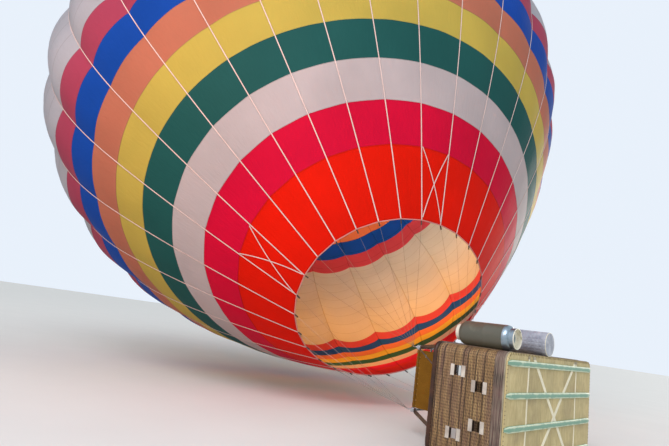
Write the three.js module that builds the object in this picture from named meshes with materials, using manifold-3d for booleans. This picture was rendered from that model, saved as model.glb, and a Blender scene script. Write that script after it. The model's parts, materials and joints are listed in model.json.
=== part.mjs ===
// Hot air balloon while it is being inflated: the striped envelope leans over the ground with its
// mouth open, and the wicker basket lies on its side in front of the mouth with the burners facing in.
// Millimetres, +Z up. +X is the way the crown of the envelope points, seen from above.
// The origin is the envelope's centre of lift.

import * as THREE from 'three';
import * as BufferGeometryUtils from 'three/addons/utils/BufferGeometryUtils.js';
import Module from 'manifold-3d';

const wasm = await Module();
wasm.setup();

// Envelope: driving dimensions
const GORES = 28;
const FACETS_PER_GORE = 2;
const SHELL = 10;
const MOUTH_RADIUS = 1980;
const MOUTH_BAND = 1282;
const BAND = 823;
const EQUATOR_BANDS = 16;
const CROWN_HEIGHT = 6300;
const FIRST_TAPE_ANGLE = 264.9;
const AXIS_RISE = 32.7;
const MOUTH_CENTRE_HEIGHT = 2264;
const VENT_OPENING_RADIUS = 2300;
const VENT_RADIUS = 2620;
const SEAM_GAP = 0.3;
const VENT_GAP = 0.6;

// Slope of the cloth against the axis, from the mouth to the widest ring: [bands from the mouth, degrees]
const MERIDIAN = [
  [0, 49.4], [1.5, 47.5], [3.5, 44], [5.5, 39.4], [7.5, 28.7], [9.5, 19], [12.5, 11], [16, 0],
];

// How far each gore bellies out, as a share of its width: [bands from the mouth, share]
const BELLY = [
  [0, 0.01], [2, 0.02], [4, 0.02], [6, 0.035], [8, 0.12], [16, 0.112], [24, 0.075], [29, 0.03],
];

// How the half-filled cloth sags: the middle of each ring moves by a*z + b*z*z, z in metres from the mouth
const SAG_UP = { a: 0.357, b: -0.018 };
const SAG_RIGHT = { a: -0.0782, b: 0.0113 };
const SQUASH = 0.048;

// Lobes pressed into the rings by weight and wind: wave, times round the ring, growth with reach and its square
const LOBES = [
  { wave: Math.sin, times: 2, grow: 0.0553, bend: -0.0342 },
  { wave: Math.cos, times: 2, grow: -0.0053, bend: 0.0148 },
  { wave: Math.sin, times: 3, grow: 0.0553, bend: -0.0201 },
  { wave: Math.cos, times: 3, grow: 0.0144, bend: 0.0067 },
];

// Colour bands from the mouth up: name, first and last band line, rows of facets, colour
const BANDS = [
  { name: 'mouth_band_red', from: 0, to: 1, rows: 1, colour: 0xe0301c },
  { name: 'band_crimson_low', from: 1, to: 2, rows: 1, colour: 0xd01a3c },
  { name: 'band_white_low', from: 2, to: 3, rows: 1, colour: 0xd2c3bf },
  { name: 'band_green_low', from: 3, to: 4, rows: 1, colour: 0x2c6157 },
  { name: 'band_yellow_low', from: 4, to: 5, rows: 1, colour: 0xd0b858 },
  { name: 'band_orange_low', from: 5, to: 6, rows: 1, colour: 0xc8735a },
  { name: 'band_blue_low', from: 6, to: 7, rows: 1, colour: 0x2450a2 },
  { name: 'band_rose_low', from: 7, to: 8, rows: 1, colour: 0xb84868 },
  { name: 'band_white_wide', from: 8, to: 16.5, rows: 5, colour: 0xc4c2c6 },
  { name: 'band_rose_high', from: 16.5, to: 17.8, rows: 1, colour: 0xb84868 },
  { name: 'band_blue_high', from: 17.8, to: 19, rows: 1, colour: 0x2450a2 },
  { name: 'band_orange_high', from: 19, to: 20.2, rows: 1, colour: 0xc8735a },
  { name: 'band_yellow_high', from: 20.2, to: 21.4, rows: 1, colour: 0xd0b858 },
  { name: 'band_green_high', from: 21.4, to: 22.6, rows: 1, colour: 0x2c6157 },
  { name: 'band_white_high', from: 22.6, to: 24, rows: 1, colour: 0xd2c3bf },
];

// Load tapes, mouth rope, crown ring and flying wires
const TAPE_WIDTH = 40;
const TAPE_THICKNESS = 3;
const TAPE_CLEARANCE = 2;
const TAPE_END_SCALE = 0.5;
const MOUTH_ROPE_RADIUS = 14;
const CROWN_RING_RADIUS = 170;
const CROWN_RING_SECTION = 16;
const WIRE_RADIUS = 4;
const WIRE_END_GAP = 0.8;
const KARABINER = { length: 90, radius: 13 };

// Basket, lying on one long side: driving dimensions, z is the basket's own upright direction
const BASKET_LENGTH = 3520;
const BASKET_WIDTH = 1640;
const BASKET_HEIGHT = 1170;
const BASKET_CORNER_RADIUS = 150;
const WICKER = 45;
const FLOOR_BOARD = 22;
const RUNNER = { count: 4, pitch: 448, width: 90, depth: 28, nose: 110, tip: 8 };
const BASE_BAND = { height: 190, thickness: 5 };
const RIM_RADIUS = 42;
const PARTITION = { thickness: 40, height: 1110, pilotHalf: 420 };
const FOOTHOLE = { width: 145, height: 115 };

// Middle of each foothole: [across the basket, up from its floor]
const FOOTHOLES = [[-445, 755], [-268, 400], [268, 400], [445, 755]];
const BASKET_TURN = 21.9;
const BASKET_NEAR_CORNER = { x: -3375, y: 58 };

// Burner frame over the basket and its four padded rods. The wires' pull bends the rods and raises the frame.
const FRAME = { length: 1800, width: 1080, height: 2050, rise: 120, tube: 21, knuckle: 70 };
const ROD = { radius: 32, footX: 1100 };
const APRON = { width: 990, depth: 290, thickness: 12 };
const ROD_CORNERS = [
  { name: 'near_top', sx: 1, sy: 1 },
  { name: 'near_low', sx: 1, sy: -1 },
  { name: 'far_top', sx: -1, sy: 1 },
  { name: 'far_low', sx: -1, sy: -1 },
];

// Gimbal and burners
const GIMBAL = { length: 900, width: 560, tube: 13, knuckle: 50, pin: 9, bore: 9.7 };
const BURNER = {
  pitch: 330, radius: 135, wall: 22, height: 360, foot: 30, floor: 50, coils: 7, ripple: 6, drop: 80,
};
const CARRIER = { overhang: 160, width: 90, height: 60, drop: 90 };
const POST = { size: [30, 60, 120], drop: 50 };
const PIVOT_GAP = 5;
const PIN_SIDES = 16;

// Fuel cylinders lying on the upper side of the basket
const CYLINDER = {
  radius: 186, length: 940, footRing: 140, collar: 110, ring: 12, ringDepth: 60, shoulder: 90,
};
const CYLINDER_PLACES = [1500, 300];

// Centre of lift, along the envelope's axis from the mouth
const LIFT_ALONG_AXIS = 10500;

const rad = THREE.MathUtils.degToRad;

function paint(colour, roughness, metalness = 0) {
  return new THREE.MeshStandardMaterial({ color: colour, roughness, metalness });
}

const FABRIC_ROUGHNESS = 0.62;
const WEBBING = paint(0xe8dfd8, 0.8);
const STEEL = paint(0xb9bcc0, 0.3, 0.9);
const WIRE_STEEL = paint(0xa9a9a4, 0.35, 0.9);
const WICKER_CANE = paint(0xa08a6c, 0.75);
const LEATHER = paint(0x4a3a30, 0.6);
const PLANK = paint(0xb9b890, 0.8);
const GREEN_RUNNER = paint(0x5f8a6a, 0.6);
const CANVAS_OLIVE = paint(0x5b5a3a, 0.8);
const TANK_GREY = paint(0x5d6663, 0.45, 0.3);
const BURNER_STEEL = paint(0x9a9a96, 0.35, 0.9);

// Value between the rows of a two-column table
function fromTable(table, at) {
  if (at <= table[0][0]) return table[0][1];
  for (let i = 1; i < table.length; i += 1) {
    const [x0, y0] = table[i - 1];
    const [x1, y1] = table[i];
    if (at <= x1) return y0 + ((y1 - y0) * (at - x0)) / (x1 - x0);
  }
  return table[table.length - 1][1];
}

// Meridian of the envelope by small steps: distance along the cloth in band lines gives radius, height, slope.
// Below the widest ring the slope comes from MERIDIAN, above it the cloth follows a quarter of an ellipse.
const STEP = 0.05;
const meridian = [];

function layOutMeridian() {
  let radius = MOUTH_RADIUS;
  let height = 0;
  let line = 0;
  meridian.push({ line, radius, height });
  while (line < EQUATOR_BANDS - STEP / 2) {
    const slope = rad(fromTable(MERIDIAN, line + STEP / 2));
    const length = STEP * (line < 1 - STEP / 2 ? MOUTH_BAND : BAND);
    radius += Math.sin(slope) * length;
    height += Math.cos(slope) * length;
    line += STEP;
    meridian.push({ line, radius, height });
  }
  const widest = { radius, height };
  const parts = 160;
  for (let i = 1; i <= parts; i += 1) {
    const turn = (Math.PI / 2) * (i / parts);
    const next = {
      radius: widest.radius * Math.cos(turn),
      height: widest.height + CROWN_HEIGHT * Math.sin(turn),
    };
    line += Math.hypot(next.radius - radius, next.height - height) / BAND;
    radius = next.radius;
    height = next.height;
    meridian.push({ line, radius, height });
  }
  return widest;
}

const WIDEST = layOutMeridian();
const CROWN_LINE = meridian[meridian.length - 1].line;

function onMeridian(line) {
  const at = Math.min(Math.max(line, 0), CROWN_LINE);
  let i = 1;
  while (i < meridian.length - 1 && meridian[i].line < at) i += 1;
  const low = meridian[i - 1];
  const high = meridian[i];
  const share = (at - low.line) / (high.line - low.line);
  const slope = Math.atan2(high.radius - low.radius, high.height - low.height);
  return {
    radius: low.radius + share * (high.radius - low.radius),
    height: low.height + share * (high.height - low.height),
    slope,
  };
}

// Sideways drift of a ring's middle, easing out above the widest ring
function drift(height, sag) {
  const z = Math.min(height, WIDEST.height) / 1000;
  let value = sag.a * z + sag.b * z * z;
  if (height > WIDEST.height) {
    const slope = sag.a + 2 * sag.b * z;
    const over = (height - WIDEST.height) / 1000;
    value += slope * (over - (over * over) / (2 * CROWN_HEIGHT / 1000));
  }
  return value * 1000;
}

// Envelope's own frame: Z along its axis, X up across it, Y to the right when seen from the mouth
function onEnvelope(line, angle, belly, out) {
  const { radius, height, slope } = onMeridian(line);
  const reach = Math.min(height, WIDEST.height) / 10000;
  const turn = angle + 0.5 * SQUASH * Math.sin(2 * angle);
  let form = 1 - SQUASH * Math.cos(2 * turn);
  for (const { wave, times, grow, bend } of LOBES) {
    form += (grow * reach + bend * reach * reach) * wave(times * turn);
  }
  const bulge = belly * fromTable(BELLY, line) * ((2 * Math.PI * radius) / GORES) + out;
  const across = radius * form + bulge * Math.cos(slope);
  return new THREE.Vector3(
    drift(height, SAG_UP) + across * Math.cos(turn),
    drift(height, SAG_RIGHT) + across * Math.sin(turn),
    height - bulge * Math.sin(slope),
  );
}

const AROUND = GORES * FACETS_PER_GORE;

function tapeAngle(tape) {
  return rad(FIRST_TAPE_ANGLE) + (tape * 2 * Math.PI) / GORES;
}

function columnBelly(column) {
  const share = (column % FACETS_PER_GORE) / FACETS_PER_GORE;
  return 4 * share * (1 - share);
}

function ringPoint(line, column, out) {
  return onEnvelope(line, tapeAngle(column / FACETS_PER_GORE), columnBelly(column), out);
}

// Closed body from corner points and faces of three or four corners
function bodyFrom(points, faces) {
  const position = new Float32Array(points.length * 3);
  points.forEach((point, i) => point.toArray(position, i * 3));
  const index = [];
  for (const face of faces) {
    for (let i = 2; i < face.length; i += 1) index.push(face[0], face[i - 1], face[i]);
  }
  const geometry = new THREE.BufferGeometry();
  geometry.setAttribute('position', new THREE.BufferAttribute(position, 3));
  geometry.setIndex(index);
  return geometry;
}

function evenLines(from, to, rows) {
  return Array.from({ length: rows + 1 }, (_, row) => from + ((to - from) * row) / rows);
}

// Band of cloth through a list of band lines, SHELL thick, closed by a point when it reaches the crown
function clothBand(lines, depth = 0, toCrown = false) {
  const points = [];
  const layers = [-depth, -depth - SHELL];
  for (const out of layers) {
    for (const line of lines) {
      for (let column = 0; column < AROUND; column += 1) points.push(ringPoint(line, column, out));
    }
  }
  const layerSize = lines.length * AROUND;
  const at = (layer, row, column) => layer * layerSize + row * AROUND + (column % AROUND);
  const faces = [];
  const last = lines.length - 1;
  for (let column = 0; column < AROUND; column += 1) {
    const next = column + 1;
    for (let row = 0; row < last; row += 1) {
      faces.push([at(0, row, column), at(0, row, next), at(0, row + 1, next), at(0, row + 1, column)]);
      faces.push([at(1, row, column), at(1, row + 1, column), at(1, row + 1, next), at(1, row, next)]);
    }
    faces.push([at(0, 0, column), at(1, 0, column), at(1, 0, next), at(0, 0, next)]);
    if (!toCrown) {
      faces.push([at(0, last, column), at(0, last, next), at(1, last, next), at(1, last, column)]);
    }
  }
  if (toCrown) {
    const tips = layers.map((out) => points.push(onEnvelope(CROWN_LINE, 0, 0, out)) - 1);
    for (let column = 0; column < AROUND; column += 1) {
      faces.push([at(0, last, column), at(0, last, column + 1), tips[0]]);
      faces.push([at(1, last, column), tips[1], at(1, last, column + 1)]);
    }
  }
  return bodyFrom(points, faces);
}

// Rows of points, each a closed ring of corners, joined into one closed body with flat ends or as a loop
function loft(rings, loop = false) {
  const points = rings.flat();
  const sides = rings[0].length;
  const faces = [];
  const spans = loop ? rings.length : rings.length - 1;
  for (let i = 0; i < spans; i += 1) {
    const a = i * sides;
    const b = ((i + 1) % rings.length) * sides;
    for (let j = 0; j < sides; j += 1) {
      const k = (j + 1) % sides;
      faces.push([a + j, a + k, b + k, b + j]);
    }
  }
  if (!loop) {
    const end = (rings.length - 1) * sides;
    const first = Array.from({ length: sides }, (_, j) => j);
    faces.push([...first].reverse());
    faces.push(first.map((j) => end + j));
  }
  return bodyFrom(points, faces);
}

function toSolid(geometry) {
  const plain = geometry.clone();
  plain.deleteAttribute('normal');
  plain.deleteAttribute('uv');
  const merged = BufferGeometryUtils.mergeVertices(plain, 0.0005);
  const mesh = new wasm.Mesh({
    numProp: 3,
    vertProperties: new Float32Array(merged.attributes.position.array),
    triVerts: new Uint32Array(merged.index.array),
  });
  return new wasm.Manifold(mesh);
}

function toGeometry(solid) {
  const mesh = solid.getMesh();
  const geometry = new THREE.BufferGeometry();
  geometry.setAttribute('position', new THREE.BufferAttribute(new Float32Array(mesh.vertProperties), 3));
  geometry.setIndex(new THREE.BufferAttribute(new Uint32Array(mesh.triVerts), 1));
  return geometry;
}

function join(...geometries) {
  return toGeometry(geometries.map(toSolid).reduce((all, next) => all.add(next)));
}

function cut(geometry, ...tools) {
  return toGeometry(tools.map(toSolid).reduce((rest, tool) => rest.subtract(tool), toSolid(geometry)));
}

// Straight round bar between two points
function bar(start, end, radius, sides = 8) {
  const geometry = new THREE.CylinderGeometry(radius, radius, start.distanceTo(end), sides);
  const way = end.clone().sub(start).normalize();
  geometry.applyQuaternion(new THREE.Quaternion().setFromUnitVectors(new THREE.Vector3(0, 1, 0), way));
  const middle = start.clone().add(end).multiplyScalar(0.5);
  return geometry.translate(middle.x, middle.y, middle.z);
}

function block(size, centre) {
  return new THREE.BoxGeometry(...size).translate(...centre);
}

const vector = (x, y, z) => new THREE.Vector3(x, y, z);

const balloon = new THREE.Group();
const envelope = new THREE.Group();
const basket = new THREE.Group();
balloon.add(envelope, basket);

function addTo(group, name, geometry, material) {
  const mesh = new THREE.Mesh(geometry, material);
  mesh.name = name;
  group.add(mesh);
}

// Envelope cloth, one band for each colour
const ventEdge = lineAtRadius(VENT_OPENING_RADIUS);
const ventSkirt = lineAtRadius(VENT_RADIUS);

function lineAtRadius(radius) {
  const above = meridian.filter((entry) => entry.line > EQUATOR_BANDS && entry.radius > radius);
  return above[above.length - 1].line;
}

const cloths = BANDS.map(({ name, from, to, rows, colour }) => (
  { name, lines: evenLines(from, to, rows), colour }
));
const lastLine = BANDS[BANDS.length - 1].to;
cloths.push({
  name: 'crown_band_crimson',
  lines: [...evenLines(lastLine, ventSkirt, 2), ventEdge],
  colour: 0xc01f3c,
});
const seam = SEAM_GAP / 2 / BAND;
for (const { name, lines, colour } of cloths) {
  const edges = [...lines];
  edges[0] += lines[0] ? seam : 0;
  edges[edges.length - 1] -= seam;
  addTo(envelope, name, clothBand(edges), paint(colour, FABRIC_ROUGHNESS));
}

// Parachute vent: a loose dome of cloth that closes the crown opening from inside
const VENT_ROWS = 3;
const ventLines = [ventSkirt, ...evenLines(ventEdge, CROWN_LINE, VENT_ROWS).slice(0, -1)];
const vent = clothBand(ventLines, SHELL + VENT_GAP, true);
addTo(envelope, 'parachute_vent', vent, paint(0xc01f3c, FABRIC_ROUGHNESS));

// Load tapes over the seams, joined by the mouth rope and the crown ring
const CROWN_ROWS = 3;

function tapeSection(line, tape) {
  const at = Math.max(line, 0);
  const steepness = 4 * (1 - 1 / FACETS_PER_GORE) * fromTable(BELLY, at);
  const lift = (steepness * TAPE_WIDTH) / 2 + TAPE_CLEARANCE;
  const angle = tapeAngle(tape);
  const { radius } = onMeridian(at);
  const half = TAPE_WIDTH / 2 / Math.max(radius, CROWN_RING_RADIUS);
  return [
    onEnvelope(at, angle - half, 0, lift),
    onEnvelope(at, angle + half, 0, lift),
    onEnvelope(at, angle, 0, lift + TAPE_THICKNESS),
  ];
}

function mouthRopeCentre(column) {
  const edge = ringPoint(0, column, 0);
  const inner = ringPoint(0.05, column, 0);
  const down = edge.clone().sub(inner).normalize();
  return edge.add(down.multiplyScalar(MOUTH_ROPE_RADIUS * 1.1 + SEAM_GAP));
}

function ropeLoop(centres, radius, sides = 6) {
  const count = centres.length;
  const middle = centres.reduce((sum, point) => sum.add(point), vector(0, 0, 0)).divideScalar(count);
  const rings = centres.map((centre, i) => {
    const before = centres[(i + count - 1) % count];
    const after = centres[(i + 1) % count];
    const along = after.clone().sub(before).normalize();
    const out = centre.clone().sub(middle);
    out.addScaledVector(along, -out.dot(along)).normalize();
    const up = along.clone().cross(out);
    return Array.from({ length: sides }, (_, j) => {
      const turn = (j * 2 * Math.PI) / sides;
      return centre.clone().addScaledVector(out, radius * Math.cos(turn))
        .addScaledVector(up, radius * Math.sin(turn));
    });
  });
  return loft(rings, true);
}

function crownRingCentre(i) {
  return onEnvelope(lineAtRadius(CROWN_RING_RADIUS), tapeAngle(i), 0, CROWN_RING_SECTION * 0.6);
}

function loadTapes() {
  const lines = [...new Set(cloths.flatMap((cloth) => cloth.lines))];
  const ringLine = lineAtRadius(CROWN_RING_RADIUS);
  for (let row = 1; row <= CROWN_ROWS; row += 1) {
    lines.push(ventEdge + ((ringLine - ventEdge) * row) / CROWN_ROWS);
  }
  const tapes = Array.from({ length: GORES }, (_, tape) => {
    const rings = lines.map((line) => tapeSection(line, tape).reverse());
    const rope = mouthRopeCentre(tape * FACETS_PER_GORE);
    const first = rings[0];
    const middle = first.reduce((sum, point) => sum.add(point), vector(0, 0, 0)).divideScalar(first.length);
    rings.unshift(first.map((point) => (
      point.clone().sub(middle).multiplyScalar(TAPE_END_SCALE).add(rope)
    )));
    return loft(rings);
  });
  const rope = ropeLoop(
    Array.from({ length: AROUND }, (_, column) => mouthRopeCentre(column)),
    MOUTH_ROPE_RADIUS,
  );
  const crownRing = ropeLoop(
    Array.from({ length: GORES }, (_, i) => crownRingCentre(i)),
    CROWN_RING_SECTION,
    4,
  );
  return join(rope, crownRing, ...tapes);
}

addTo(envelope, 'load_tapes', loadTapes(), WEBBING);

// Envelope frame into the site frame: Z of the envelope rises AXIS_RISE over +X, its X is up, its Y is right
const axis = vector(Math.cos(rad(AXIS_RISE)), 0, Math.sin(rad(AXIS_RISE)));
const acrossUp = vector(-Math.sin(rad(AXIS_RISE)), 0, Math.cos(rad(AXIS_RISE)));
const acrossRight = vector(0, -1, 0);
const envelopeTurn = new THREE.Matrix4().makeBasis(acrossUp, acrossRight, axis);
envelope.quaternion.setFromRotationMatrix(envelopeTurn);
envelope.position.set(0, 0, MOUTH_CENTRE_HEIGHT);

// Basket frame into the site frame: Z of the basket is its upright direction, here level, and Y points up
const basketUp = vector(Math.cos(rad(BASKET_TURN)), Math.sin(rad(BASKET_TURN)), 0);
const basketSide = vector(0, 0, 1);
const basketLong = basketSide.clone().cross(basketUp);
const basketTurn = new THREE.Matrix4().makeBasis(basketLong, basketSide, basketUp);
basket.quaternion.setFromRotationMatrix(basketTurn);
basket.position.set(BASKET_NEAR_CORNER.x, BASKET_NEAR_CORNER.y, BASKET_WIDTH / 2);
basket.position.addScaledVector(basketLong, -BASKET_LENGTH / 2);

// Wicker walls: one woven tub with rounded corners and footholes in both ends
function roundedOutline(length, width, radius, segments = 4) {
  const outline = new THREE.Shape();
  const x = length / 2 - radius;
  const y = width / 2 - radius;
  const corners = [[x, y, 0], [-x, y, 90], [-x, -y, 180], [x, -y, 270]];
  const points = [];
  for (const [cx, cy, start] of corners) {
    for (let i = 0; i <= segments; i += 1) {
      const turn = rad(start + (90 * i) / segments);
      points.push(new THREE.Vector2(cx + radius * Math.cos(turn), cy + radius * Math.sin(turn)));
    }
  }
  outline.setFromPoints(points);
  return outline;
}

function tub(outset, thickness, bottom, top) {
  const outer = roundedOutline(
    BASKET_LENGTH + 2 * outset,
    BASKET_WIDTH + 2 * outset,
    BASKET_CORNER_RADIUS + outset,
  );
  const inset = outset - thickness;
  const inner = roundedOutline(
    BASKET_LENGTH + 2 * inset,
    BASKET_WIDTH + 2 * inset,
    BASKET_CORNER_RADIUS + inset,
  );
  outer.holes.push(new THREE.Path(inner.getPoints()));
  const geometry = new THREE.ExtrudeGeometry(outer, { depth: top - bottom, bevelEnabled: false });
  return geometry.translate(0, 0, bottom);
}

function wickerWalls() {
  const walls = tub(0, WICKER, FLOOR_BOARD + SEAM_GAP, BASKET_HEIGHT - RIM_RADIUS);
  const holes = FOOTHOLES.map(([y, z]) => (
    block([BASKET_LENGTH + 200, FOOTHOLE.width, FOOTHOLE.height], [0, y, z])
  ));
  return cut(walls, ...holes);
}

addTo(basket, 'basket_wicker_walls', wickerWalls(), WICKER_CANE);

// Floor boards across the basket, with runners under them
const floorOutline = roundedOutline(BASKET_LENGTH, BASKET_WIDTH, BASKET_CORNER_RADIUS);
const floor = new THREE.ExtrudeGeometry(floorOutline, { depth: FLOOR_BOARD, bevelEnabled: false });
addTo(basket, 'basket_floor_boards', floor, PLANK);

// A batten whose two noses rise to a thin tip, so that it slides over the ground
function floorRunner(y) {
  const { width, depth, nose, tip } = RUNNER;
  const end = BASKET_LENGTH / 2 - 10;
  const side = new THREE.Shape();
  side.setFromPoints([
    [-end, 0], [-end, -tip], [nose - end, -depth], [end - nose, -depth], [end, -tip], [end, 0],
  ].map(([x, z]) => new THREE.Vector2(x, z)));
  const geometry = new THREE.ExtrudeGeometry(side, { depth: width, bevelEnabled: false });
  return geometry.rotateX(Math.PI / 2).translate(0, y + width / 2, -SEAM_GAP);
}

for (let i = 0; i < RUNNER.count; i += 1) {
  const y = (i - (RUNNER.count - 1) / 2) * RUNNER.pitch;
  addTo(basket, `floor_runner_${i + 1}`, floorRunner(y), GREEN_RUNNER);
}

// Leather band round the foot of the walls and the padded leather rim round the top
const baseBand = tub(
  BASE_BAND.thickness + SEAM_GAP,
  BASE_BAND.thickness,
  FLOOR_BOARD + SEAM_GAP,
  BASE_BAND.height,
);
addTo(basket, 'leather_base_band', baseBand, LEATHER);

function paddedRim() {
  const centres = roundedOutline(
    BASKET_LENGTH - WICKER,
    BASKET_WIDTH - WICKER,
    BASKET_CORNER_RADIUS - WICKER / 2,
  ).getPoints().map(({ x, y }) => vector(x, y, BASKET_HEIGHT + SEAM_GAP));
  if (centres[0].distanceTo(centres[centres.length - 1]) < 1) centres.pop();
  return ropeLoop(centres, RIM_RADIUS, 8);
}

addTo(basket, 'padded_rim', paddedRim(), LEATHER);

// Woven partitions: two across, with a lengthwise one in each passenger end
const insideHalfLength = BASKET_LENGTH / 2 - WICKER - SEAM_GAP;
const insideWidth = BASKET_WIDTH - 2 * (WICKER + SEAM_GAP);
const partitionZ = FLOOR_BOARD + SEAM_GAP + PARTITION.height / 2;
for (const [side, end] of [[1, 'near'], [-1, 'far']]) {
  const across = block(
    [PARTITION.thickness, insideWidth, PARTITION.height],
    [side * PARTITION.pilotHalf, 0, partitionZ],
  );
  addTo(basket, `partition_across_${end}`, across, WICKER_CANE);
  const start = PARTITION.pilotHalf + PARTITION.thickness / 2 + SEAM_GAP;
  const along = block(
    [insideHalfLength - start, PARTITION.thickness, PARTITION.height],
    [(side * (insideHalfLength + start)) / 2, 0, partitionZ],
  );
  addTo(basket, `partition_along_${end}`, along, WICKER_CANE);
}

// Burner frame: a rectangle of steel tube with two cross tubes that carry the gimbal
const overhead = (x, y, z) => vector(x, y + FRAME.rise, z + FRAME.height);
const frameCorner = (sx, sy) => overhead((sx * FRAME.length) / 2, (sy * FRAME.width) / 2, 0);
const crossTubeX = GIMBAL.length / 2 + GIMBAL.knuckle / 2 + PIVOT_GAP + FRAME.tube + 2;

function burnerFrame() {
  const corners = [frameCorner(1, 1), frameCorner(-1, 1), frameCorner(-1, -1), frameCorner(1, -1)];
  const tubes = corners.map((corner, i) => bar(corner, corners[(i + 1) % 4], FRAME.tube));
  const knuckles = corners.map((corner) => (
    new THREE.BoxGeometry(FRAME.knuckle, FRAME.knuckle, FRAME.knuckle).translate(corner.x, corner.y, corner.z)
  ));
  const crossTubes = [1, -1].map((side) => bar(
    overhead(side * crossTubeX, -FRAME.width / 2, 0),
    overhead(side * crossTubeX, FRAME.width / 2, 0),
    FRAME.tube,
  ));
  const pins = [1, -1].map((side) => bar(
    overhead(side * crossTubeX, 0, 0),
    overhead(side * (GIMBAL.length / 2 - GIMBAL.knuckle / 2), 0, 0),
    GIMBAL.pin,
    PIN_SIDES,
  ));
  return join(...tubes, ...knuckles, ...crossTubes, ...pins);
}

addTo(basket, 'burner_frame', burnerFrame(), STEEL);

// Canvas aprons under the two end tubes of the frame
for (const [side, end] of [[1, 'near'], [-1, 'far']]) {
  const middle = overhead((side * FRAME.length) / 2, 0, -FRAME.tube - SEAM_GAP - APRON.depth / 2);
  const apron = block([APRON.thickness, APRON.width, APRON.depth], middle.toArray());
  addTo(basket, `frame_apron_${end}`, apron, CANVAS_OLIVE);
}

// Padded rods from the basket's rim up to the corners of the burner frame
const rimTop = BASKET_HEIGHT + SEAM_GAP + RIM_RADIUS;
const knuckleUnderside = FRAME.height - FRAME.knuckle / 2;
const TRIM = { side: 400, height: 200 };
for (const { name, sx, sy } of ROD_CORNERS) {
  const foot = vector(sx * ROD.footX, (sy * (BASKET_WIDTH - WICKER)) / 2, BASKET_HEIGHT);
  const head = frameCorner(sx, sy);
  const trimSize = [TRIM.side, TRIM.side, TRIM.height];
  const belowRim = block(trimSize, [foot.x, foot.y, rimTop + SEAM_GAP - TRIM.height / 2]);
  const insideKnuckle = block(trimSize, [head.x, head.y, knuckleUnderside - SEAM_GAP + TRIM.height / 2]);
  const rod = cut(bar(foot, head, ROD.radius), belowRim, insideKnuckle);
  addTo(basket, `padded_rod_${name}`, rod, CANVAS_OLIVE);
}

// Gimbal ring round the burners, and the burner pair inside it
function rectangleRing(length, width, radius) {
  const corners = [[1, 1], [-1, 1], [-1, -1], [1, -1]].map(([sx, sy]) => (
    overhead((sx * length) / 2, (sy * width) / 2, 0)
  ));
  return corners.map((corner, i) => bar(corner, corners[(i + 1) % 4], radius));
}

function gimbalRing() {
  const { length, width, tube, knuckle, bore } = GIMBAL;
  const places = [[length / 2, 0], [-length / 2, 0], [0, width / 2], [0, -width / 2]];
  const knuckles = places.map(([x, y]) => (
    block([knuckle, knuckle, knuckle], overhead(x, y, 0).toArray())
  ));
  const bores = places.map(([x, y]) => {
    const half = vector(x ? knuckle : 0, y ? knuckle : 0, 0);
    const middle = overhead(x, y, 0);
    return bar(middle.clone().sub(half), middle.clone().add(half), bore, PIN_SIDES);
  });
  return cut(join(...rectangleRing(length, width, tube), ...knuckles), ...bores);
}

addTo(basket, 'gimbal_ring', gimbalRing(), STEEL);

// One burner: an open cup whose wall ripples with the turns of the vaporising coil
function burnerCan(x) {
  const { radius, wall, height, foot, floor, coils, ripple, drop } = BURNER;
  const top = foot + height;
  const profile = [new THREE.Vector2(0, 0), new THREE.Vector2(radius * 0.6, 0)];
  for (let coil = 0; coil < coils; coil += 1) {
    const low = foot + (coil * height) / coils;
    profile.push(new THREE.Vector2(radius - ripple, low));
    profile.push(new THREE.Vector2(radius, low + height / coils / 2));
  }
  profile.push(new THREE.Vector2(radius - ripple, top), new THREE.Vector2(radius - wall, top));
  profile.push(new THREE.Vector2(radius - wall, floor), new THREE.Vector2(0, floor));
  const can = new THREE.LatheGeometry(profile, 20);
  can.rotateX(Math.PI / 2);
  return can.translate(x, FRAME.rise, FRAME.height - drop);
}

function burnerPair() {
  const cans = [-0.5, 0.5].map((place) => burnerCan(place * BURNER.pitch));
  const carrierSize = [BURNER.pitch + CARRIER.overhang, CARRIER.width, CARRIER.height];
  const carrier = block(carrierSize, overhead(0, 0, -CARRIER.drop).toArray());
  const reach = GIMBAL.width / 2 + GIMBAL.knuckle / 2;
  const ends = [-reach, reach].map((y) => overhead(0, y, 0));
  const trunnion = bar(ends[0], ends[1], GIMBAL.pin, PIN_SIDES);
  const post = block(POST.size, overhead(0, 0, -POST.drop).toArray());
  return join(carrier, post, trunnion, ...cans);
}

addTo(basket, 'burner_pair', burnerPair(), BURNER_STEEL);

// Fuel cylinders on the upper side, each a rounded tank with a foot ring and a valve collar
function fuelCylinder() {
  const { radius, length, footRing, collar, ring, ringDepth, shoulder } = CYLINDER;
  const foot = -length / 2;
  const head = length / 2;
  const profile = [
    [0, foot + ringDepth], [footRing, foot + ringDepth], [footRing, foot], [footRing + ring, foot],
    [footRing + ring, foot + ringDepth - 10], [radius - 20, foot + ringDepth + 15],
    [radius, foot + ringDepth + 15 + shoulder], [radius, head - ringDepth - shoulder],
    [radius - 30, head - ringDepth - 15], [collar + ring, head - ringDepth], [collar + ring, head],
    [collar, head], [collar, head - ringDepth + 10], [0, head - ringDepth + 10],
  ];
  const tank = new THREE.LatheGeometry(profile.map(([x, y]) => new THREE.Vector2(x, y)), 20);
  tank.rotateX(Math.PI / 2);
  return tank;
}

CYLINDER_PLACES.forEach((x, i) => {
  const y = BASKET_WIDTH / 2 + BASE_BAND.thickness + 3 * SEAM_GAP + CYLINDER.radius;
  const tank = fuelCylinder().translate(x, y, CYLINDER.length / 2 - 10);
  addTo(basket, `fuel_cylinder_${i + 1}`, tank, TANK_GREY);
});

// Flying wires: seven from each corner of the burner frame to the mouth rope
balloon.updateMatrixWorld(true);
const QUARTERS = [
  { name: 'right_top', sx: -1, sy: 1, from: 0 },
  { name: 'right_low', sx: -1, sy: -1, from: 90 },
  { name: 'left_low', sx: 1, sy: -1, from: 180 },
  { name: 'left_top', sx: 1, sy: 1, from: 270 },
];

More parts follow.
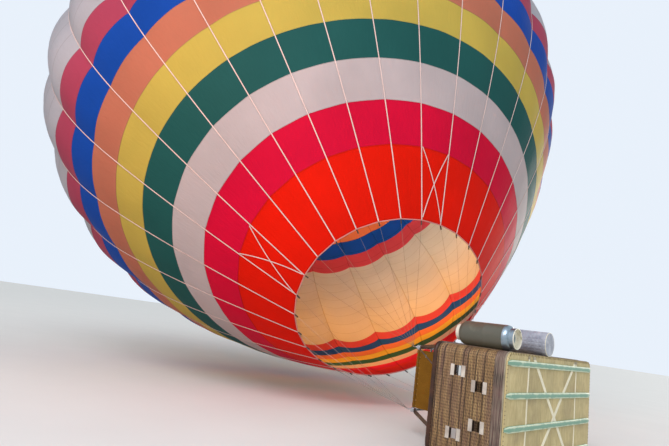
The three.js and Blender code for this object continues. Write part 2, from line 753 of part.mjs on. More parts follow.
// A wire stops just short of the rope, however steeply it meets it
function wireEnd(tape, start) {
  const column = tape * FACETS_PER_GORE;
  const rope = mouthRopeCentre(column).applyMatrix4(envelope.matrixWorld);
  const before = mouthRopeCentre((column + AROUND - 1) % AROUND).applyMatrix4(envelope.matrixWorld);
  const after = mouthRopeCentre((column + 1) % AROUND).applyMatrix4(envelope.matrixWorld);
  const way = rope.clone().sub(start).normalize();
  const flattest = Math.max(
    Math.abs(way.dot(rope.clone().sub(before).normalize())),
    Math.abs(way.dot(after.clone().sub(rope).normalize())),
  );
  const steep = Math.sqrt(1 - flattest * flattest);
  const back = (MOUTH_ROPE_RADIUS + WIRE_END_GAP + WIRE_RADIUS * flattest) / steep;
  return rope.addScaledVector(way, -back);
}

function wireGroup({ sx, sy, from }) {
  const corner = frameCorner(sx, sy).applyMatrix4(basket.matrixWorld);
  const foot = corner.clone().addScaledVector(basketUp, FRAME.knuckle / 2 + SEAM_GAP);
  const eye = foot.clone().addScaledVector(basketUp, KARABINER.length);
  const wires = [];
  for (let tape = 0; tape < GORES; tape += 1) {
    const angle = THREE.MathUtils.euclideanModulo(THREE.MathUtils.radToDeg(tapeAngle(tape)), 360);
    if (angle >= from && angle < from + 90) {
      wires.push(bar(eye, wireEnd(tape, eye), WIRE_RADIUS, 5));
    }
  }
  const tip = eye.clone().addScaledVector(basketUp, KARABINER.radius);
  return join(bar(foot, tip, KARABINER.radius), ...wires);
}

for (const quarter of QUARTERS) {
  addTo(balloon, `flying_wires_${quarter.name}`, wireGroup(quarter), WIRE_STEEL);
}

// The origin moves from the ground under the mouth to the centre of lift
const lift = vector(drift(LIFT_ALONG_AXIS, SAG_UP), drift(LIFT_ALONG_AXIS, SAG_RIGHT), LIFT_ALONG_AXIS);
lift.applyMatrix4(envelope.matrixWorld);
balloon.position.copy(lift).negate();

export default balloon;
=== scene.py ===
import json
from math import cos, radians, sin

import bpy
import numpy as np
from mathutils import Matrix, Vector


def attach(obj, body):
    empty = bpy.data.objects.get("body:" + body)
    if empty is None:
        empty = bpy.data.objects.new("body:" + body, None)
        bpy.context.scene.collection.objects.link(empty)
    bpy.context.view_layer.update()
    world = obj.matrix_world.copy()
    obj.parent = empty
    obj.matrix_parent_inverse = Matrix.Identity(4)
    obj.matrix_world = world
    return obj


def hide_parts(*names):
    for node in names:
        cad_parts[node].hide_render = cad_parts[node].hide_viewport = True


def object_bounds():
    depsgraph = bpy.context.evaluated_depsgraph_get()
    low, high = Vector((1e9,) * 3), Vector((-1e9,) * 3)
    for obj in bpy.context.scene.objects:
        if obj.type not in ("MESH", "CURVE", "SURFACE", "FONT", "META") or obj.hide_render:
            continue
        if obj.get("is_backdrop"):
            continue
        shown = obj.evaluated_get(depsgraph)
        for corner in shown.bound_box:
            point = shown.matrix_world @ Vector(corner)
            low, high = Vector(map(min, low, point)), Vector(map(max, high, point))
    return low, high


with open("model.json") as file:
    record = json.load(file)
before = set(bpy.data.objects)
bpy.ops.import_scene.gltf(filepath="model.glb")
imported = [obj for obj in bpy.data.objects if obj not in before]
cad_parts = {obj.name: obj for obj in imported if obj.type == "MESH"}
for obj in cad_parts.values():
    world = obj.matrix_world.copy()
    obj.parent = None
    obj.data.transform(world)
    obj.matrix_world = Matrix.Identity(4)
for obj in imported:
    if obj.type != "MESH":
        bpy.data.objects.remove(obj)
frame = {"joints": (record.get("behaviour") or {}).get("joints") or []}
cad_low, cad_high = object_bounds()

# Camera: an eye 1.72 m over the floor, in front of the basket's near end and looking up into the mouth
# of the envelope. The lens is a phone's wide one, given for a picture 669 pixels wide.
EYE = (-16.652, 5.609, -7.721)
LOOK = (0.904835, -0.376794, 0.198241)
RIGHT = (-0.406459, -0.903072, 0.138751)
UP = (-0.126745, 0.206123, 0.970283)
PICTURE_WIDTH = 669
FOCAL_PIXELS = 487

lens = bpy.data.cameras.new("camera")
lens.lens = lens.sensor_width * FOCAL_PIXELS / PICTURE_WIDTH
lens.clip_end = 500
camera = bpy.data.objects.new("camera", lens)
bpy.context.collection.objects.link(camera)
turn = Matrix((RIGHT, UP, -Vector(LOOK))).transposed()
camera.matrix_world = Matrix.Translation(EYE) @ turn.to_4x4()
bpy.context.scene.camera = camera

# Floor: a plain pale studio floor, rolled with matt paint. It lies level with the lowest point of the model
# and runs out to the horizon.
FLOOR_HALF = 150
FLOOR_TONES = ("#d3d0c9", "#d9d6cf")


def linear(colour):
    """sRGB hex as linear RGBA: channel c becomes ((c + 0.055) / 1.055) ** 2.4, or c / 12.92 where dark."""
    channels = np.array([int(colour[i:i + 2], 16) / 255 for i in (1, 3, 5)])
    bright = ((channels + 0.055) / 1.055) ** 2.4
    return (*np.where(channels > 0.04045, bright, channels / 12.92).tolist(), 1.0)


def add(tree, kind, links=(), **settings):
    """Adds one shader node: settings are its own properties, and links gives a socket a value, an output, or
    a node, which stands for its first enabled output. A noise of scale n has patches about 1 / n metres
    wide."""
    node = tree.nodes.new("ShaderNode" + kind)
    for name, value in settings.items():
        setattr(node, name, value)
    for socket, value in dict(links).items():
        if isinstance(value, bpy.types.Node):
            value = next(output for output in value.outputs if output.enabled)
        if isinstance(value, bpy.types.NodeSocket):
            tree.links.new(value, node.inputs[socket])
        else:
            node.inputs[socket].default_value = value
    return node


def new_material(name):
    """An empty node material, and its tree."""
    material = bpy.data.materials.new(name)
    material.use_nodes = True
    material.node_tree.nodes.clear()
    return material, material.node_tree


def floor_material():
    """Painted studio floor: matt, with a faint mottling a metre wide."""
    material, tree = new_material("matt_studio_floor")
    place = add(tree, "TexCoord").outputs["Object"]
    mottle = add(tree, "TexNoise", {"Vector": place, "Scale": 0.8, "Detail": 3})
    tone = add(tree, "Mix", {"Factor": mottle, "A": linear(FLOOR_TONES[0]),
                             "B": linear(FLOOR_TONES[1])}, data_type="RGBA")
    cover = add(tree, "BsdfPrincipled", {"Base Color": tone, "Roughness": 0.9})
    add(tree, "OutputMaterial", {"Surface": cover})
    return material


corners = [(x * FLOOR_HALF, y * FLOOR_HALF, cad_low.z) for x, y in ((-1, -1), (1, -1), (1, 1), (-1, 1))]
floor_mesh = bpy.data.meshes.new("studio_floor")
floor_mesh.from_pydata(corners, [], [(0, 1, 2, 3)])
floor_mesh.materials.append(floor_material())
studio_floor = bpy.data.objects.new("studio_floor", floor_mesh)
bpy.context.collection.objects.link(studio_floor)
studio_floor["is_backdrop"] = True

# Light: a pale dome all round, a broad cool key from high on the left with a warm spot low beside it, and a
# low sun behind the right flank that shines through the cloth. An orange spot stands in the envelope's mouth,
# and an orange lamp and a pale one inside it.
world = bpy.data.worlds.new("pale_studio")
world.use_nodes = True
background = world.node_tree.nodes["Background"]
background.inputs["Color"].default_value = linear("#dfe7f1")
background.inputs["Strength"].default_value = 1.1
bpy.context.scene.world = world
bpy.context.scene.view_settings.view_transform = "Standard"

SPOT_RADIUS = 0.8
LAMPS = (
    # name, kind, strength, size or angle, colour, place, aim
    ("soft_key", "AREA", 4800, 16, "#f4f2fb", (-22, 16, 12), (-2, 0, -1)),
    ("warm_fill", "SPOT", 3600, 66, "#ffb488", (-15, 15, -2), (-5, 4, -4)),
    ("low_sun", "SUN", 1.5, 20, "#f4efe6", (14, -30, 6), (0, 0, 0)),
    ("mouth_glow", "SPOT", 3300, 118, "#ffa648", (-7.2, 0.3, -6.2), (-1, -1.5, -6.6)),
    ("inside_glow", "AREA", 880, 3.4, "#ffa230", (-3.6, -1.2, -3.8), (2.5, -7, -2.5)),
    ("flank_glow", "AREA", 260, 3, "#eaf6d2", (0.5, -3, -0.5), (1.6, -7.5, -2.4)),
)
for name, kind, strength, size, colour, place, aim in LAMPS:
    lamp = bpy.data.lights.new(name, kind)
    lamp.energy = strength
    lamp.color = linear(colour)[:3]
    if kind == "SUN":
        lamp.angle = radians(size)
    elif kind == "SPOT":
        lamp.spot_size = radians(size)
        lamp.spot_blend = 1
        lamp.shadow_soft_size = SPOT_RADIUS
    else:
        lamp.size = size
    lamp_object = bpy.data.objects.new(name, lamp)
    lamp_object.location = place
    lamp_object.rotation_mode = "QUATERNION"
    lamp_object.rotation_quaternion = (Vector(aim) - Vector(place)).to_track_quat("-Z", "Y")
    lamp_object.visible_camera = False
    bpy.context.collection.objects.link(lamp_object)

# Envelope cloth: 28 gores of coated ripstop nylon, each band one colour, sewn with lapped seams along and
# across. The half-filled bag sags, so its rings drift off the axis, and every gore bellies between tapes.
GORES = 28
COLUMNS = 14
ROWS_PER_BAND = 7
SHELL = 0.010
MOUTH_RADIUS = 1.980
MOUTH_BAND = 1.282
BAND = 0.823
EQUATOR_BANDS = 16
CROWN_HEIGHT = 6.300
CROWN_STEPS = 160
VENT_OPENING_RADIUS = 2.300
VENT_RADIUS = 2.620
VENT_GAP = 0.0006
FIRST_TAPE = radians(264.9)
AXIS_RISE = radians(32.7)
MOUTH_CENTRE = np.array((-7.882879, 0.424725, -7.156948))
# Slope of the cloth to the axis in degrees, and belly of a gore as a share of its width, at band lines, which
# count the bands from the mouth
SLOPE_LINES = (0, 1.5, 3.5, 5.5, 7.5, 9.5, 12.5, 16)
SLOPES = (49.4, 47.5, 44, 39.4, 28.7, 19, 11, 0)
BELLY_LINES = (0, 2, 4, 6, 8, 16, 24, 29)
BELLIES = (0.012, 0.02, 0.04, 0.065, 0.145, 0.14, 0.1, 0.055)
# How the rings sag: drift of their middles up and right, then squash and lobes of their outline
SAG_UP = (0.357, -0.018)
SAG_RIGHT = (-0.0782, 0.0113)
SQUASH = 0.048
LOBES = (
    # wave, times round the ring, growth with reach, growth with reach squared
    (np.sin, 2, 0.0553, -0.0342),
    (np.cos, 2, -0.0053, 0.0148),
    (np.sin, 3, 0.0553, -0.0201),
    (np.cos, 3, 0.0144, 0.0067),
)

across_up = np.array((-sin(AXIS_RISE), 0, cos(AXIS_RISE)))
across_right = np.array((0, -1, 0))
along_axis = np.array((cos(AXIS_RISE), 0, sin(AXIS_RISE)))


def meridian():
    """Band line, radius, height and slope along one tape: short steps turned by the slope table up to the
    widest ring, then a quarter ellipse over the crown."""
    step = 0.05
    middles = np.arange(step / 2, EQUATOR_BANDS, step)
    slopes = np.radians(np.interp(middles, SLOPE_LINES, SLOPES))
    lengths = step * np.where(middles < 1, MOUTH_BAND, BAND)
    radius = MOUTH_RADIUS + np.concatenate(([0], np.cumsum(np.sin(slopes) * lengths)))
    height = np.concatenate(([0], np.cumsum(np.cos(slopes) * lengths)))
    line = np.arange(len(radius)) * step
    turn = np.linspace(0, np.pi / 2, CROWN_STEPS + 1)[1:]
    crown_radius = radius[-1] * np.cos(turn)
    crown_height = height[-1] + CROWN_HEIGHT * np.sin(turn)
    widest = height[-1]
    radius = np.concatenate((radius, crown_radius))
    height = np.concatenate((height, crown_height))
    steps = np.hypot(np.diff(radius), np.diff(height))[-CROWN_STEPS:] / BAND
    line = np.concatenate((line, line[-1] + np.cumsum(steps)))
    slope = np.arctan2(np.gradient(radius), np.gradient(height))
    return line, radius, height, slope, widest


LINES, RADII, HEIGHTS, CLOTH_SLOPES, WIDEST = meridian()
CROWN_LINE = LINES[-1]


def line_at_radius(radius):
    """Band line over the widest ring where the cloth has come in to this radius."""
    return float(np.interp(-radius, -RADII[LINES > EQUATOR_BANDS], LINES[LINES > EQUATOR_BANDS]))


def drift(height, a, b):
    """Sideways drift of a ring's middle: a z + b z^2 up to the widest ring, then easing out to the crown."""
    z = np.minimum(height, WIDEST)
    over = np.maximum(height - WIDEST, 0)
    return a * z + b * z * z + (a + 2 * b * WIDEST) * (over - over * over / (2 * CROWN_HEIGHT))


def ring_point(line, angle, out):
    """Point on the round form of a ring, in envelope axes: radius times one plus a few sine waves of the
    angle, pushed out along the cloth's own normal."""
    radius = np.interp(line, LINES, RADII)
    height = np.interp(line, LINES, HEIGHTS)
    slope = np.interp(line, LINES, CLOTH_SLOPES)
    reach = np.minimum(height, WIDEST) / 10
    t = angle + 0.5 * SQUASH * np.sin(2 * angle)
    form = 1 - SQUASH * np.cos(2 * t) + sum(
        (grow * reach + bend * reach ** 2) * wave(times * t) for wave, times, grow, bend in LOBES)
    across = radius * form + out * np.cos(slope)
    return np.stack((
        drift(height, *SAG_UP) + across * np.cos(t),
        drift(height, *SAG_RIGHT) + across * np.sin(t),
        height - out * np.sin(slope),
    ), axis=-1)


def envelope(points):
    """Envelope axes (up across, right across, along) to the model's frame."""
    return MOUTH_CENTRE + np.asarray(points) @ np.stack((across_up, across_right, along_axis))


def cloth(line, tape, out=0.0, belly=1.0):
    """Cloth point at a band line and a gore coordinate (whole numbers are tapes), in the model's frame: the
    straight chord between the two tapes, plus 4 x (1 - x) of the belly and out, both along the normal."""
    line, tape, out, belly = np.broadcast_arrays(*(np.asarray(v, float) for v in (line, tape, out, belly)))
    gore = np.floor(tape)
    share = tape - gore
    left = FIRST_TAPE + gore * 2 * np.pi / GORES
    right = left + 2 * np.pi / GORES
    width = 2 * np.pi * np.interp(line, LINES, RADII) / GORES
    bulge = belly * np.interp(line, BELLY_LINES, BELLIES) * width * 4 * share * (1 - share)
    push = bulge + out
    return envelope((1 - share)[..., None] * ring_point(line, left, push)
                    + share[..., None] * ring_point(line, right, push))


def wrinkles(line, tape):
    """Small creases of the slack cloth, out of its surface: ripples across each tape that die out from it,
    and slow diagonal folds as a sum of three sine waves."""
    share = tape - np.floor(tape)
    near = np.minimum(share, 1 - share)
    gather = np.exp(-9 * near) * np.sin(np.pi * np.minimum(1, 12 * near))
    ripple = np.sin(line * 41 + 3 * np.sin(tape * 2.1)) * gather
    slow = (np.sin(line * 3.1 + tape * 5.3) + np.sin(line * 7.7 - tape * 3.1 + 1)
            + np.sin(line * 1.3 + tape * 11.0 + 2)) * share * (1 - share)
    size = np.interp(line, (0, 3, 8, 16, 26), (0.35, 0.5, 0.9, 1, 1))
    return size * (0.007 * ripple + 0.012 * slow)


def grid_part(points, uv=None, close_rows=False, close_columns=False):
    """Quads over a grid of points, closed either way on request, as (points, faces, corner uv)."""
    rows, columns = points.shape[:2]
    r, c = np.meshgrid(np.arange(rows if close_rows else rows - 1),
                       np.arange(columns if close_columns else columns - 1), indexing="ij")
    corners = ((r, c), (r, c + 1), (r + 1, c + 1), (r + 1, c))
    faces = np.stack([(a % rows) * columns + b % columns for a, b in corners], -1).reshape(-1, 4)
    if uv is None:
        uv = np.stack(np.meshgrid(np.arange(rows + 1.0), np.arange(columns + 1.0), indexing="ij"), -1)
    corner_uv = np.stack([uv[a % len(uv), b] for a, b in corners], -2)
    part = {"points": points.reshape(-1, 3), "faces": [faces], "uvs": [corner_uv.reshape(-1, 4, 2)]}
    if not close_rows and close_columns:
        for ring in (np.arange(columns), (rows - 1) * columns + np.arange(columns)):
            part["faces"].append(ring[None, :] if ring[0] else ring[None, ::-1])
            part["uvs"].append(np.zeros((1, columns, 2)))
    return part


def volume(part):
    """Six times the volume that a closed part's faces enclose, as tetrahedra from its middle."""
    total = 0
    for faces in part["faces"]:
        p = part["points"][faces] - part["points"].mean(0)
        for k in range(1, faces.shape[1] - 1):
            total += np.einsum("ij,ij->", p[:, 0], np.cross(p[:, k], p[:, k + 1]))
    return total


def make_piece(name, parts, materials, sharp=35):
    """One mesh object at the origin from closed parts, each with points, faces, corner uvs, a material number
    and marks, which are values at the points. A part with a negative volume has its faces turned."""
    points, loops, starts, uvs, slots = [], [], [], [], []
    offset, corner = 0, 0
    for part in parts:
        way = 1 if volume(part) >= 0 else -1
        points.append(part["points"])
        for faces, face_uvs in zip(part["faces"], part["uvs"]):
            loops.append((faces[:, ::way] + offset).ravel())
            uvs.append(face_uvs[:, ::way].reshape(-1, 2))
            starts.append(corner + np.arange(len(faces)) * faces.shape[1])
            slots.append(np.full(len(faces), part.get("material", 0)))
            corner += faces.size
        offset += len(part["points"])
    points, loops, starts, uvs, slots = (np.concatenate(v) for v in (points, loops, starts, uvs, slots))
    mesh = bpy.data.meshes.new(name)
    mesh.vertices.add(len(points))
    mesh.vertices.foreach_set("co", points.astype(np.float32).ravel())
    mesh.loops.add(len(loops))
    mesh.loops.foreach_set("vertex_index", loops.astype(np.int32))
    mesh.polygons.add(len(starts))
    mesh.polygons.foreach_set("loop_start", starts.astype(np.int32))
    mesh.polygons.foreach_set("material_index", slots.astype(np.int32))
    mesh.uv_layers.new(name="surface").uv.foreach_set("vector", uvs.astype(np.float32).ravel())
    for mark in parts[0].get("marks", {}):
        values = np.concatenate([part["marks"][mark].ravel() for part in parts]).astype(np.float32)
        mesh.attributes.new(mark, "FLOAT", "POINT").data.foreach_set("value", values)
    mesh.update(calc_edges=True)
    for material in materials:
        mesh.materials.append(material)
    mesh.shade_smooth()
    mesh.set_sharp_from_angle(angle=radians(sharp))
    piece = bpy.data.objects.new(name, mesh)
    bpy.context.collection.objects.link(piece)
    return piece


# Half width of a sewn lap and of its soft edge: of a cross lap as a share of a band, of a gore lap in metres
CROSS_LAP = (0.012, 0.020)
GORE_LAP = (0.014, 0.020)
LAP_TINT = "#c4b9b0"


def nylon(name, colour, inner):
    """Ripstop nylon with a polyurethane coat: a soft sheen, and light shines through, less where laps double
    it. The band's own map gives gore and band line, so cross laps lie on whole band lines and creases run
    along the gore. inner is the share of light let through."""
    material, tree = new_material("ripstop_nylon_" + name)
    place = add(tree, "UVMap", uv_map="surface")
    across = add(tree, "SeparateXYZ", {"Vector": place})
    seam = add(tree, "Math", {0: across.outputs["Y"], 1: 0.5}, operation="ADD")
    seam = add(tree, "Math", {0: seam}, operation="FRACT")
    seam = add(tree, "Math", {0: seam, 1: 0.5}, operation="SUBTRACT")
    seam = add(tree, "Math", {0: seam}, operation="ABSOLUTE")
    cross_lap = add(tree, "MapRange", {"Value": seam, "From Min": CROSS_LAP[0],
                                       "From Max": CROSS_LAP[1], "To Min": 1.0, "To Max": 0.0})
    tape_gap = add(tree, "Attribute", attribute_name="from_tape").outputs["Fac"]
    gore_lap = add(tree, "MapRange", {"Value": tape_gap, "From Min": GORE_LAP[0], "From Max": GORE_LAP[1],
                                      "To Min": 1.0, "To Max": 0.0})
    lap = add(tree, "Math", {0: cross_lap, 1: gore_lap}, operation="MAXIMUM")
    spot = add(tree, "TexCoord").outputs["Object"]
    fade = add(tree, "TexNoise", {"Vector": spot, "Scale": 0.55, "Detail": 4})
    stretched = add(tree, "Mapping", {"Vector": place, "Scale": (5.0, 1.1, 1.0)})
    crease = add(tree, "TexNoise", {"Vector": stretched, "Scale": 3.0, "Detail": 5, "Distortion": 0.6})
    tone = add(tree, "MapRange", {"Value": fade, "From Min": 0.3, "From Max": 0.7,
                                  "To Min": 0.92, "To Max": 1.06})
    darken = add(tree, "Math", {0: lap, 1: -0.05, 2: 1.0}, operation="MULTIPLY_ADD")
    shade = add(tree, "Math", {0: tone, 1: darken}, operation="MULTIPLY")
    base = add(tree, "Mix", {"Factor": 1.0, "A": linear(colour), "B": shade},
               data_type="RGBA", blend_type="MULTIPLY")
    height = add(tree, "Math", {0: lap, 1: 0.35, 2: crease}, operation="MULTIPLY_ADD")
    bump = add(tree, "Bump", {"Height": height, "Strength": 0.35, "Distance": 0.02})
    cover = add(tree, "BsdfPrincipled", {
        "Base Color": base, "Roughness": 0.55, "Normal": bump, "Sheen Weight": 0.12, "Sheen Roughness": 0.25,
        "Sheen Tint": linear("#cbd6e6"), "Specular IOR Level": 0.06})
    doubled = add(tree, "Mix", {"Factor": lap, "A": base, "B": linear(LAP_TINT)},
                  data_type="RGBA", blend_type="MULTIPLY")
    through = add(tree, "BsdfTranslucent", {"Color": doubled, "Normal": bump})
    mixed = add(tree, "MixShader", {0: inner, 1: cover, 2: through})
    add(tree, "OutputMaterial", {"Surface": mixed})
    return material


BANDS = (
    # node, material slot, first line, last line, colour, share of light let through
    ("mouth_band_red", "cloth_red", 0, 1, "#ec2008", 0.45),
    ("band_crimson_low", "cloth_crimson", 1, 2, "#e01240", 0.45),
    ("band_white_low", "cloth_white", 2, 3, "#d4cbca", 0.5),
    ("band_green_low", "cloth_green", 3, 4, "#2b6964", 0.5),
    ("band_yellow_low", "cloth_yellow", 4, 5, "#d6c45f", 0.5),
    ("band_orange_low", "cloth_orange", 5, 6, "#d0866a", 0.5),
    ("band_blue_low", "cloth_blue", 6, 7, "#1a56ba", 0.5),
    ("band_rose_low", "cloth_rose", 7, 8, "#bd4f6a", 0.5),
    # Painted shade: the wide white band is drawn greyer and bluer than the other white bands, though it is
    # the same white cloth
    ("band_white_wide", "cloth_white", 8, 16.5, "#c0c1c6", 0.48),
    ("band_rose_high", "cloth_rose", 16.5, 17.8, "#bd4f6a", 0.5),
    ("band_blue_high", "cloth_blue", 17.8, 19, "#1a56ba", 0.5),
    ("band_orange_high", "cloth_orange", 19, 20.2, "#d0866a", 0.5),
    ("band_yellow_high", "cloth_yellow", 20.2, 21.4, "#d6c45f", 0.5),
    ("band_green_high", "cloth_green", 21.4, 22.6, "#2b6964", 0.5),
    ("band_white_high", "cloth_white", 22.6, 24, "#d4cbca", 0.5),
    ("crown_band_crimson", "cloth_crimson", 24, line_at_radius(VENT_OPENING_RADIUS), "#e01240", 0.45),
)
tapes_across = np.arange(GORES * COLUMNS) / COLUMNS
cloth_materials = {}


def cloth_shell(first, last, depth=0.0):
    """A ring of cloth SHELL thick: rows up the outside and back down the inside, closed both ways. Wrinkles
    move both faces alike, and neighbouring rings share them, so their edges meet."""
    rows = int(np.ceil((last - first) * ROWS_PER_BAND))
    lines = np.linspace(first, last, rows + 1)
    line, tape = np.meshgrid(lines, tapes_across, indexing="ij")
    wave = wrinkles(line, tape)
    outer = cloth(line, tape, wave - depth)
    inner = cloth(line, tape, wave - depth - SHELL)[::-1]
    uv_line = np.concatenate((lines, lines[::-1]))
    uv = np.stack(np.meshgrid(np.arange(len(tapes_across) + 1) / COLUMNS, uv_line), -1)
    part = grid_part(np.concatenate((outer, inner)), uv, True, True)
    gap = distance_from_tape(line, tape)
    part["marks"] = {"from_tape": np.concatenate((gap, gap[::-1]))}
    return part


def distance_from_tape(line, tape):
    """Metres across the gore from the nearest tape: share of the gore times its width."""
    share = tape - np.floor(tape)
    return np.minimum(share, 1 - share) * 2 * np.pi * np.interp(line, LINES, RADII) / GORES


for name, slot, first, last, colour, let_through in BANDS:
    if colour not in cloth_materials:
        cloth_materials[colour] = nylon(name, colour, let_through)
    band = make_piece(name + "_cloth", [cloth_shell(first, last)], [cloth_materials[colour]])
    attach(band, "root")
    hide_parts(name)

# Parachute vent: a loose dome of the same nylon, which the air's pressure holds against the crown opening
# from inside. Short lines gather from its edge to one ring, and pull it down to let air out.
VENT_COLUMNS = 6
VENT_ROWS = 24
VENT_DEPTH = 0.014
VENT_SLACK = 0.012
VENT_BELLY = 0.6
CROWN_PATCH = 0.09
SHROUD_DROP = 2.6
SHROUD_LINE = 0.005
SHROUD_RING = ((0.03, -0.02), (0.045, 0), (0.03, 0.02))


def unit(v):
    """Vectors scaled to length one."""
    return v / np.maximum(np.linalg.norm(v, axis=-1, keepdims=True), 1e-9)


def ring(radius, sides, squash=1.0):
    """Points of a circle, or of an ellipse squashed along its second axis."""
    turn = np.arange(sides) * 2 * np.pi / sides
    return np.stack((radius * np.cos(turn), squash * radius * np.sin(turn)), -1)


def sweep(path, section, up=(0, 0, 1), close=False):
    """Carries a closed section of (side, up) offsets along a path. Side is the cross product of the path's
    direction and up; open ends are capped. The map gives metres round and along."""
    path = np.asarray(path, float)
    up = np.broadcast_to(np.asarray(up, float), path.shape)
    before, after = (np.roll(path, 1, 0), np.roll(path, -1, 0)) if close else (path, path)
    tangent = unit(after - before if close else np.gradient(path, axis=0))
    side = unit(np.cross(tangent, up))
    lift = np.cross(side, tangent)
    section = np.broadcast_to(section, (len(path), *np.shape(section)[-2:]))
    points = path[:, None] + side[:, None] * section[..., :1] + lift[:, None] * section[..., 1:]
    steps = np.linalg.norm(np.diff(path, axis=0, append=path[:1]), axis=1)
    length = np.concatenate(([0], np.cumsum(steps)))[:len(path) + close]
    edges = np.linalg.norm(np.diff(section, axis=1, append=section[:, :1]), axis=2).mean(0)
    girth = np.concatenate(([0], np.cumsum(edges)))
    return grid_part(points, np.stack(np.meshgrid(girth, length), -1), close, True)


def lathe(profile, base, axis, sides=24, across=(0, 0, 1)):
    """Turns a profile of (radius, height) rows about an axis through base; its ends are capped."""
    profile = np.asarray(profile, float)
    axis = unit(np.asarray(axis, float))
    first = unit(np.cross(axis, across))
    second = np.cross(axis, first)
    circle = ring(1, sides)
    points = (np.asarray(base) + profile[:, None, 1:] * axis
              + profile[:, None, :1] * (circle[:, :1] * first + circle[:, 1:] * second))
    girth = np.linspace(0, 2 * np.pi * profile[:, 0].max(), sides + 1)
    return grid_part(points, np.stack(np.meshgrid(girth, profile[:, 1]), -1), False, True)


vent_skirt = line_at_radius(VENT_RADIUS)
vent_lines = np.concatenate((np.linspace(vent_skirt, CROWN_LINE, VENT_ROWS)[:-1],
                             [line_at_radius(CROWN_PATCH)]))
line, tape = np.meshgrid(vent_lines, np.arange(GORES * VENT_COLUMNS) / VENT_COLUMNS, indexing="ij")
slack = VENT_SLACK * np.sin(tape * 2 * np.pi) * np.interp(line, (vent_skirt, CROWN_LINE), (1, 0.2))
vent_out = cloth(line, tape, -SHELL - VENT_GAP - VENT_DEPTH + slack, VENT_BELLY)
vent_in = cloth(line, tape, -2 * SHELL - VENT_GAP - VENT_DEPTH + slack, VENT_BELLY)
vent_uv = np.stack(np.meshgrid(np.arange(tape.shape[1] + 1) / VENT_COLUMNS,
                               np.concatenate((vent_lines[::-1], vent_lines))), -1)
vent_shell = grid_part(np.concatenate((vent_out[::-1], vent_in)), vent_uv, False, True)
vent_gap = distance_from_tape(line, tape)
vent_shell["marks"] = {"from_tape": np.concatenate((vent_gap[::-1], vent_gap))}
vent = make_piece("parachute_vent_cloth", [vent_shell], [cloth_materials["#e01240"]])
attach(vent, "vent")
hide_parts("parachute_vent")


def woven(name, colour, second, thread, sheen=0.2, specular=0.5):
    """Woven polyester, cotton or cord: a twill of threads thread mm wide, with a rib every three or so, in
    two close tones. The threads are drawn coarser than real ones, which are too fine to show."""
    material, tree = new_material(name)
    place = add(tree, "UVMap", uv_map="surface")
    weave = add(tree, "TexWave", {"Vector": place, "Scale": 1000 / thread / 6.3, "Distortion": 1.5},
                bands_direction="DIAGONAL")
    spot = add(tree, "TexCoord").outputs["Object"]
    dirt = add(tree, "TexNoise", {"Vector": spot, "Scale": 2.3, "Detail": 4})
    tone = add(tree, "Mix", {"Factor": weave.outputs["Fac"], "A": linear(second), "B": linear(colour)},
               data_type="RGBA")
    worn = add(tree, "MapRange", {"Value": dirt, "From Min": 0.35, "From Max": 0.75,
                                  "To Min": 1.0, "To Max": 0.82})
    base = add(tree, "Mix", {"Factor": 1.0, "A": tone, "B": worn}, data_type="RGBA", blend_type="MULTIPLY")
    bump = add(tree, "Bump", {"Height": weave.outputs["Fac"], "Strength": 0.5, "Distance": 0.001})
    cover = add(tree, "BsdfPrincipled", {
        "Base Color": base, "Roughness": 0.75, "Normal": bump, "Sheen Weight": sheen, "Sheen Roughness": 0.5,
        "Specular IOR Level": specular})
    add(tree, "OutputMaterial", {"Surface": cover})
    return material


webbing = woven("polyester_webbing", "#e3c9c0", "#c9aca2", 2.0)
rope_fibre = woven("braided_rope", "#d8d2c6", "#a8a294", 3.0)

top = HEIGHTS[-1]
gather = envelope((drift(top, *SAG_UP), drift(top, *SAG_RIGHT), top - SHROUD_DROP))
shroud_parts = []
for tape in range(0, GORES, 2):
    edge = cloth(vent_skirt + 0.05, tape, -2 * SHELL - VENT_GAP - 0.02)
    shroud_parts.append(sweep(np.linspace(edge, gather, 8), ring(SHROUD_LINE, 6)))
shroud_parts.append(lathe(SHROUD_RING, gather, along_axis, 12))
shrouds = make_piece("vent_shroud_lines", shroud_parts, [rope_fibre])
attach(shrouds, "vent")

# Load tapes: 28 flat polyester webbings sewn over the gore seams, from the mouth rope to the crown ring, with
# a crossed pair in the lowest band at each quarter. They carry the whole load from crown ring to wires.
TAPE_HALF_WIDTH = 0.0105
TAPE_THICKNESS = 0.003
MOUTH_ROPE_RADIUS = 0.011
CROWN_RING_RADIUS = 0.170
CROWN_RING_SECTION = 0.016
TAPE_LIFT = 0.004
CROSSED_TAPES = (0, 7, 14, 21)
CROSSED_HALF_WIDTH = 0.009
CROSSED_LIFTS = (0.013, 0.017)
CROSSING_TOP = 1.03


def strip(path, out, half_width, thickness):
    """A flat webbing along a path that lies with its face along out."""
    flat = np.array(((-half_width, 0), (half_width, 0), (half_width, thickness), (-half_width, thickness)))
    return sweep(path, flat, out)


def on_cloth(lines, tapes, lift):
    """Path over the cloth, and the way out of it at each point."""
    path = cloth(lines, tapes, lift)
    return path, unit(cloth(lines, tapes, lift + 0.1) - path)


tape_top = line_at_radius(CROWN_RING_RADIUS)
tape_lines = np.concatenate((np.linspace(0, 8, 60), np.linspace(8, tape_top, 120)[1:]))
tape_rise = 4 * np.interp(tape_lines, BELLY_LINES, BELLIES) * TAPE_HALF_WIDTH + TAPE_LIFT
tape_parts = [strip(*on_cloth(tape_lines, np.full(len(tape_lines), float(tape)), tape_rise),
                    TAPE_HALF_WIDTH, TAPE_THICKNESS) for tape in range(GORES)]
for tape in CROSSED_TAPES:
    share = np.linspace(0.03, 0.97, 26)
    down = CROSSING_TOP * (1 - share)
    for way, lift in zip((share, 1 - share), CROSSED_LIFTS):
        tape_parts.append(strip(*on_cloth(down, tape + way, lift), CROSSED_HALF_WIDTH, TAPE_THICKNESS))

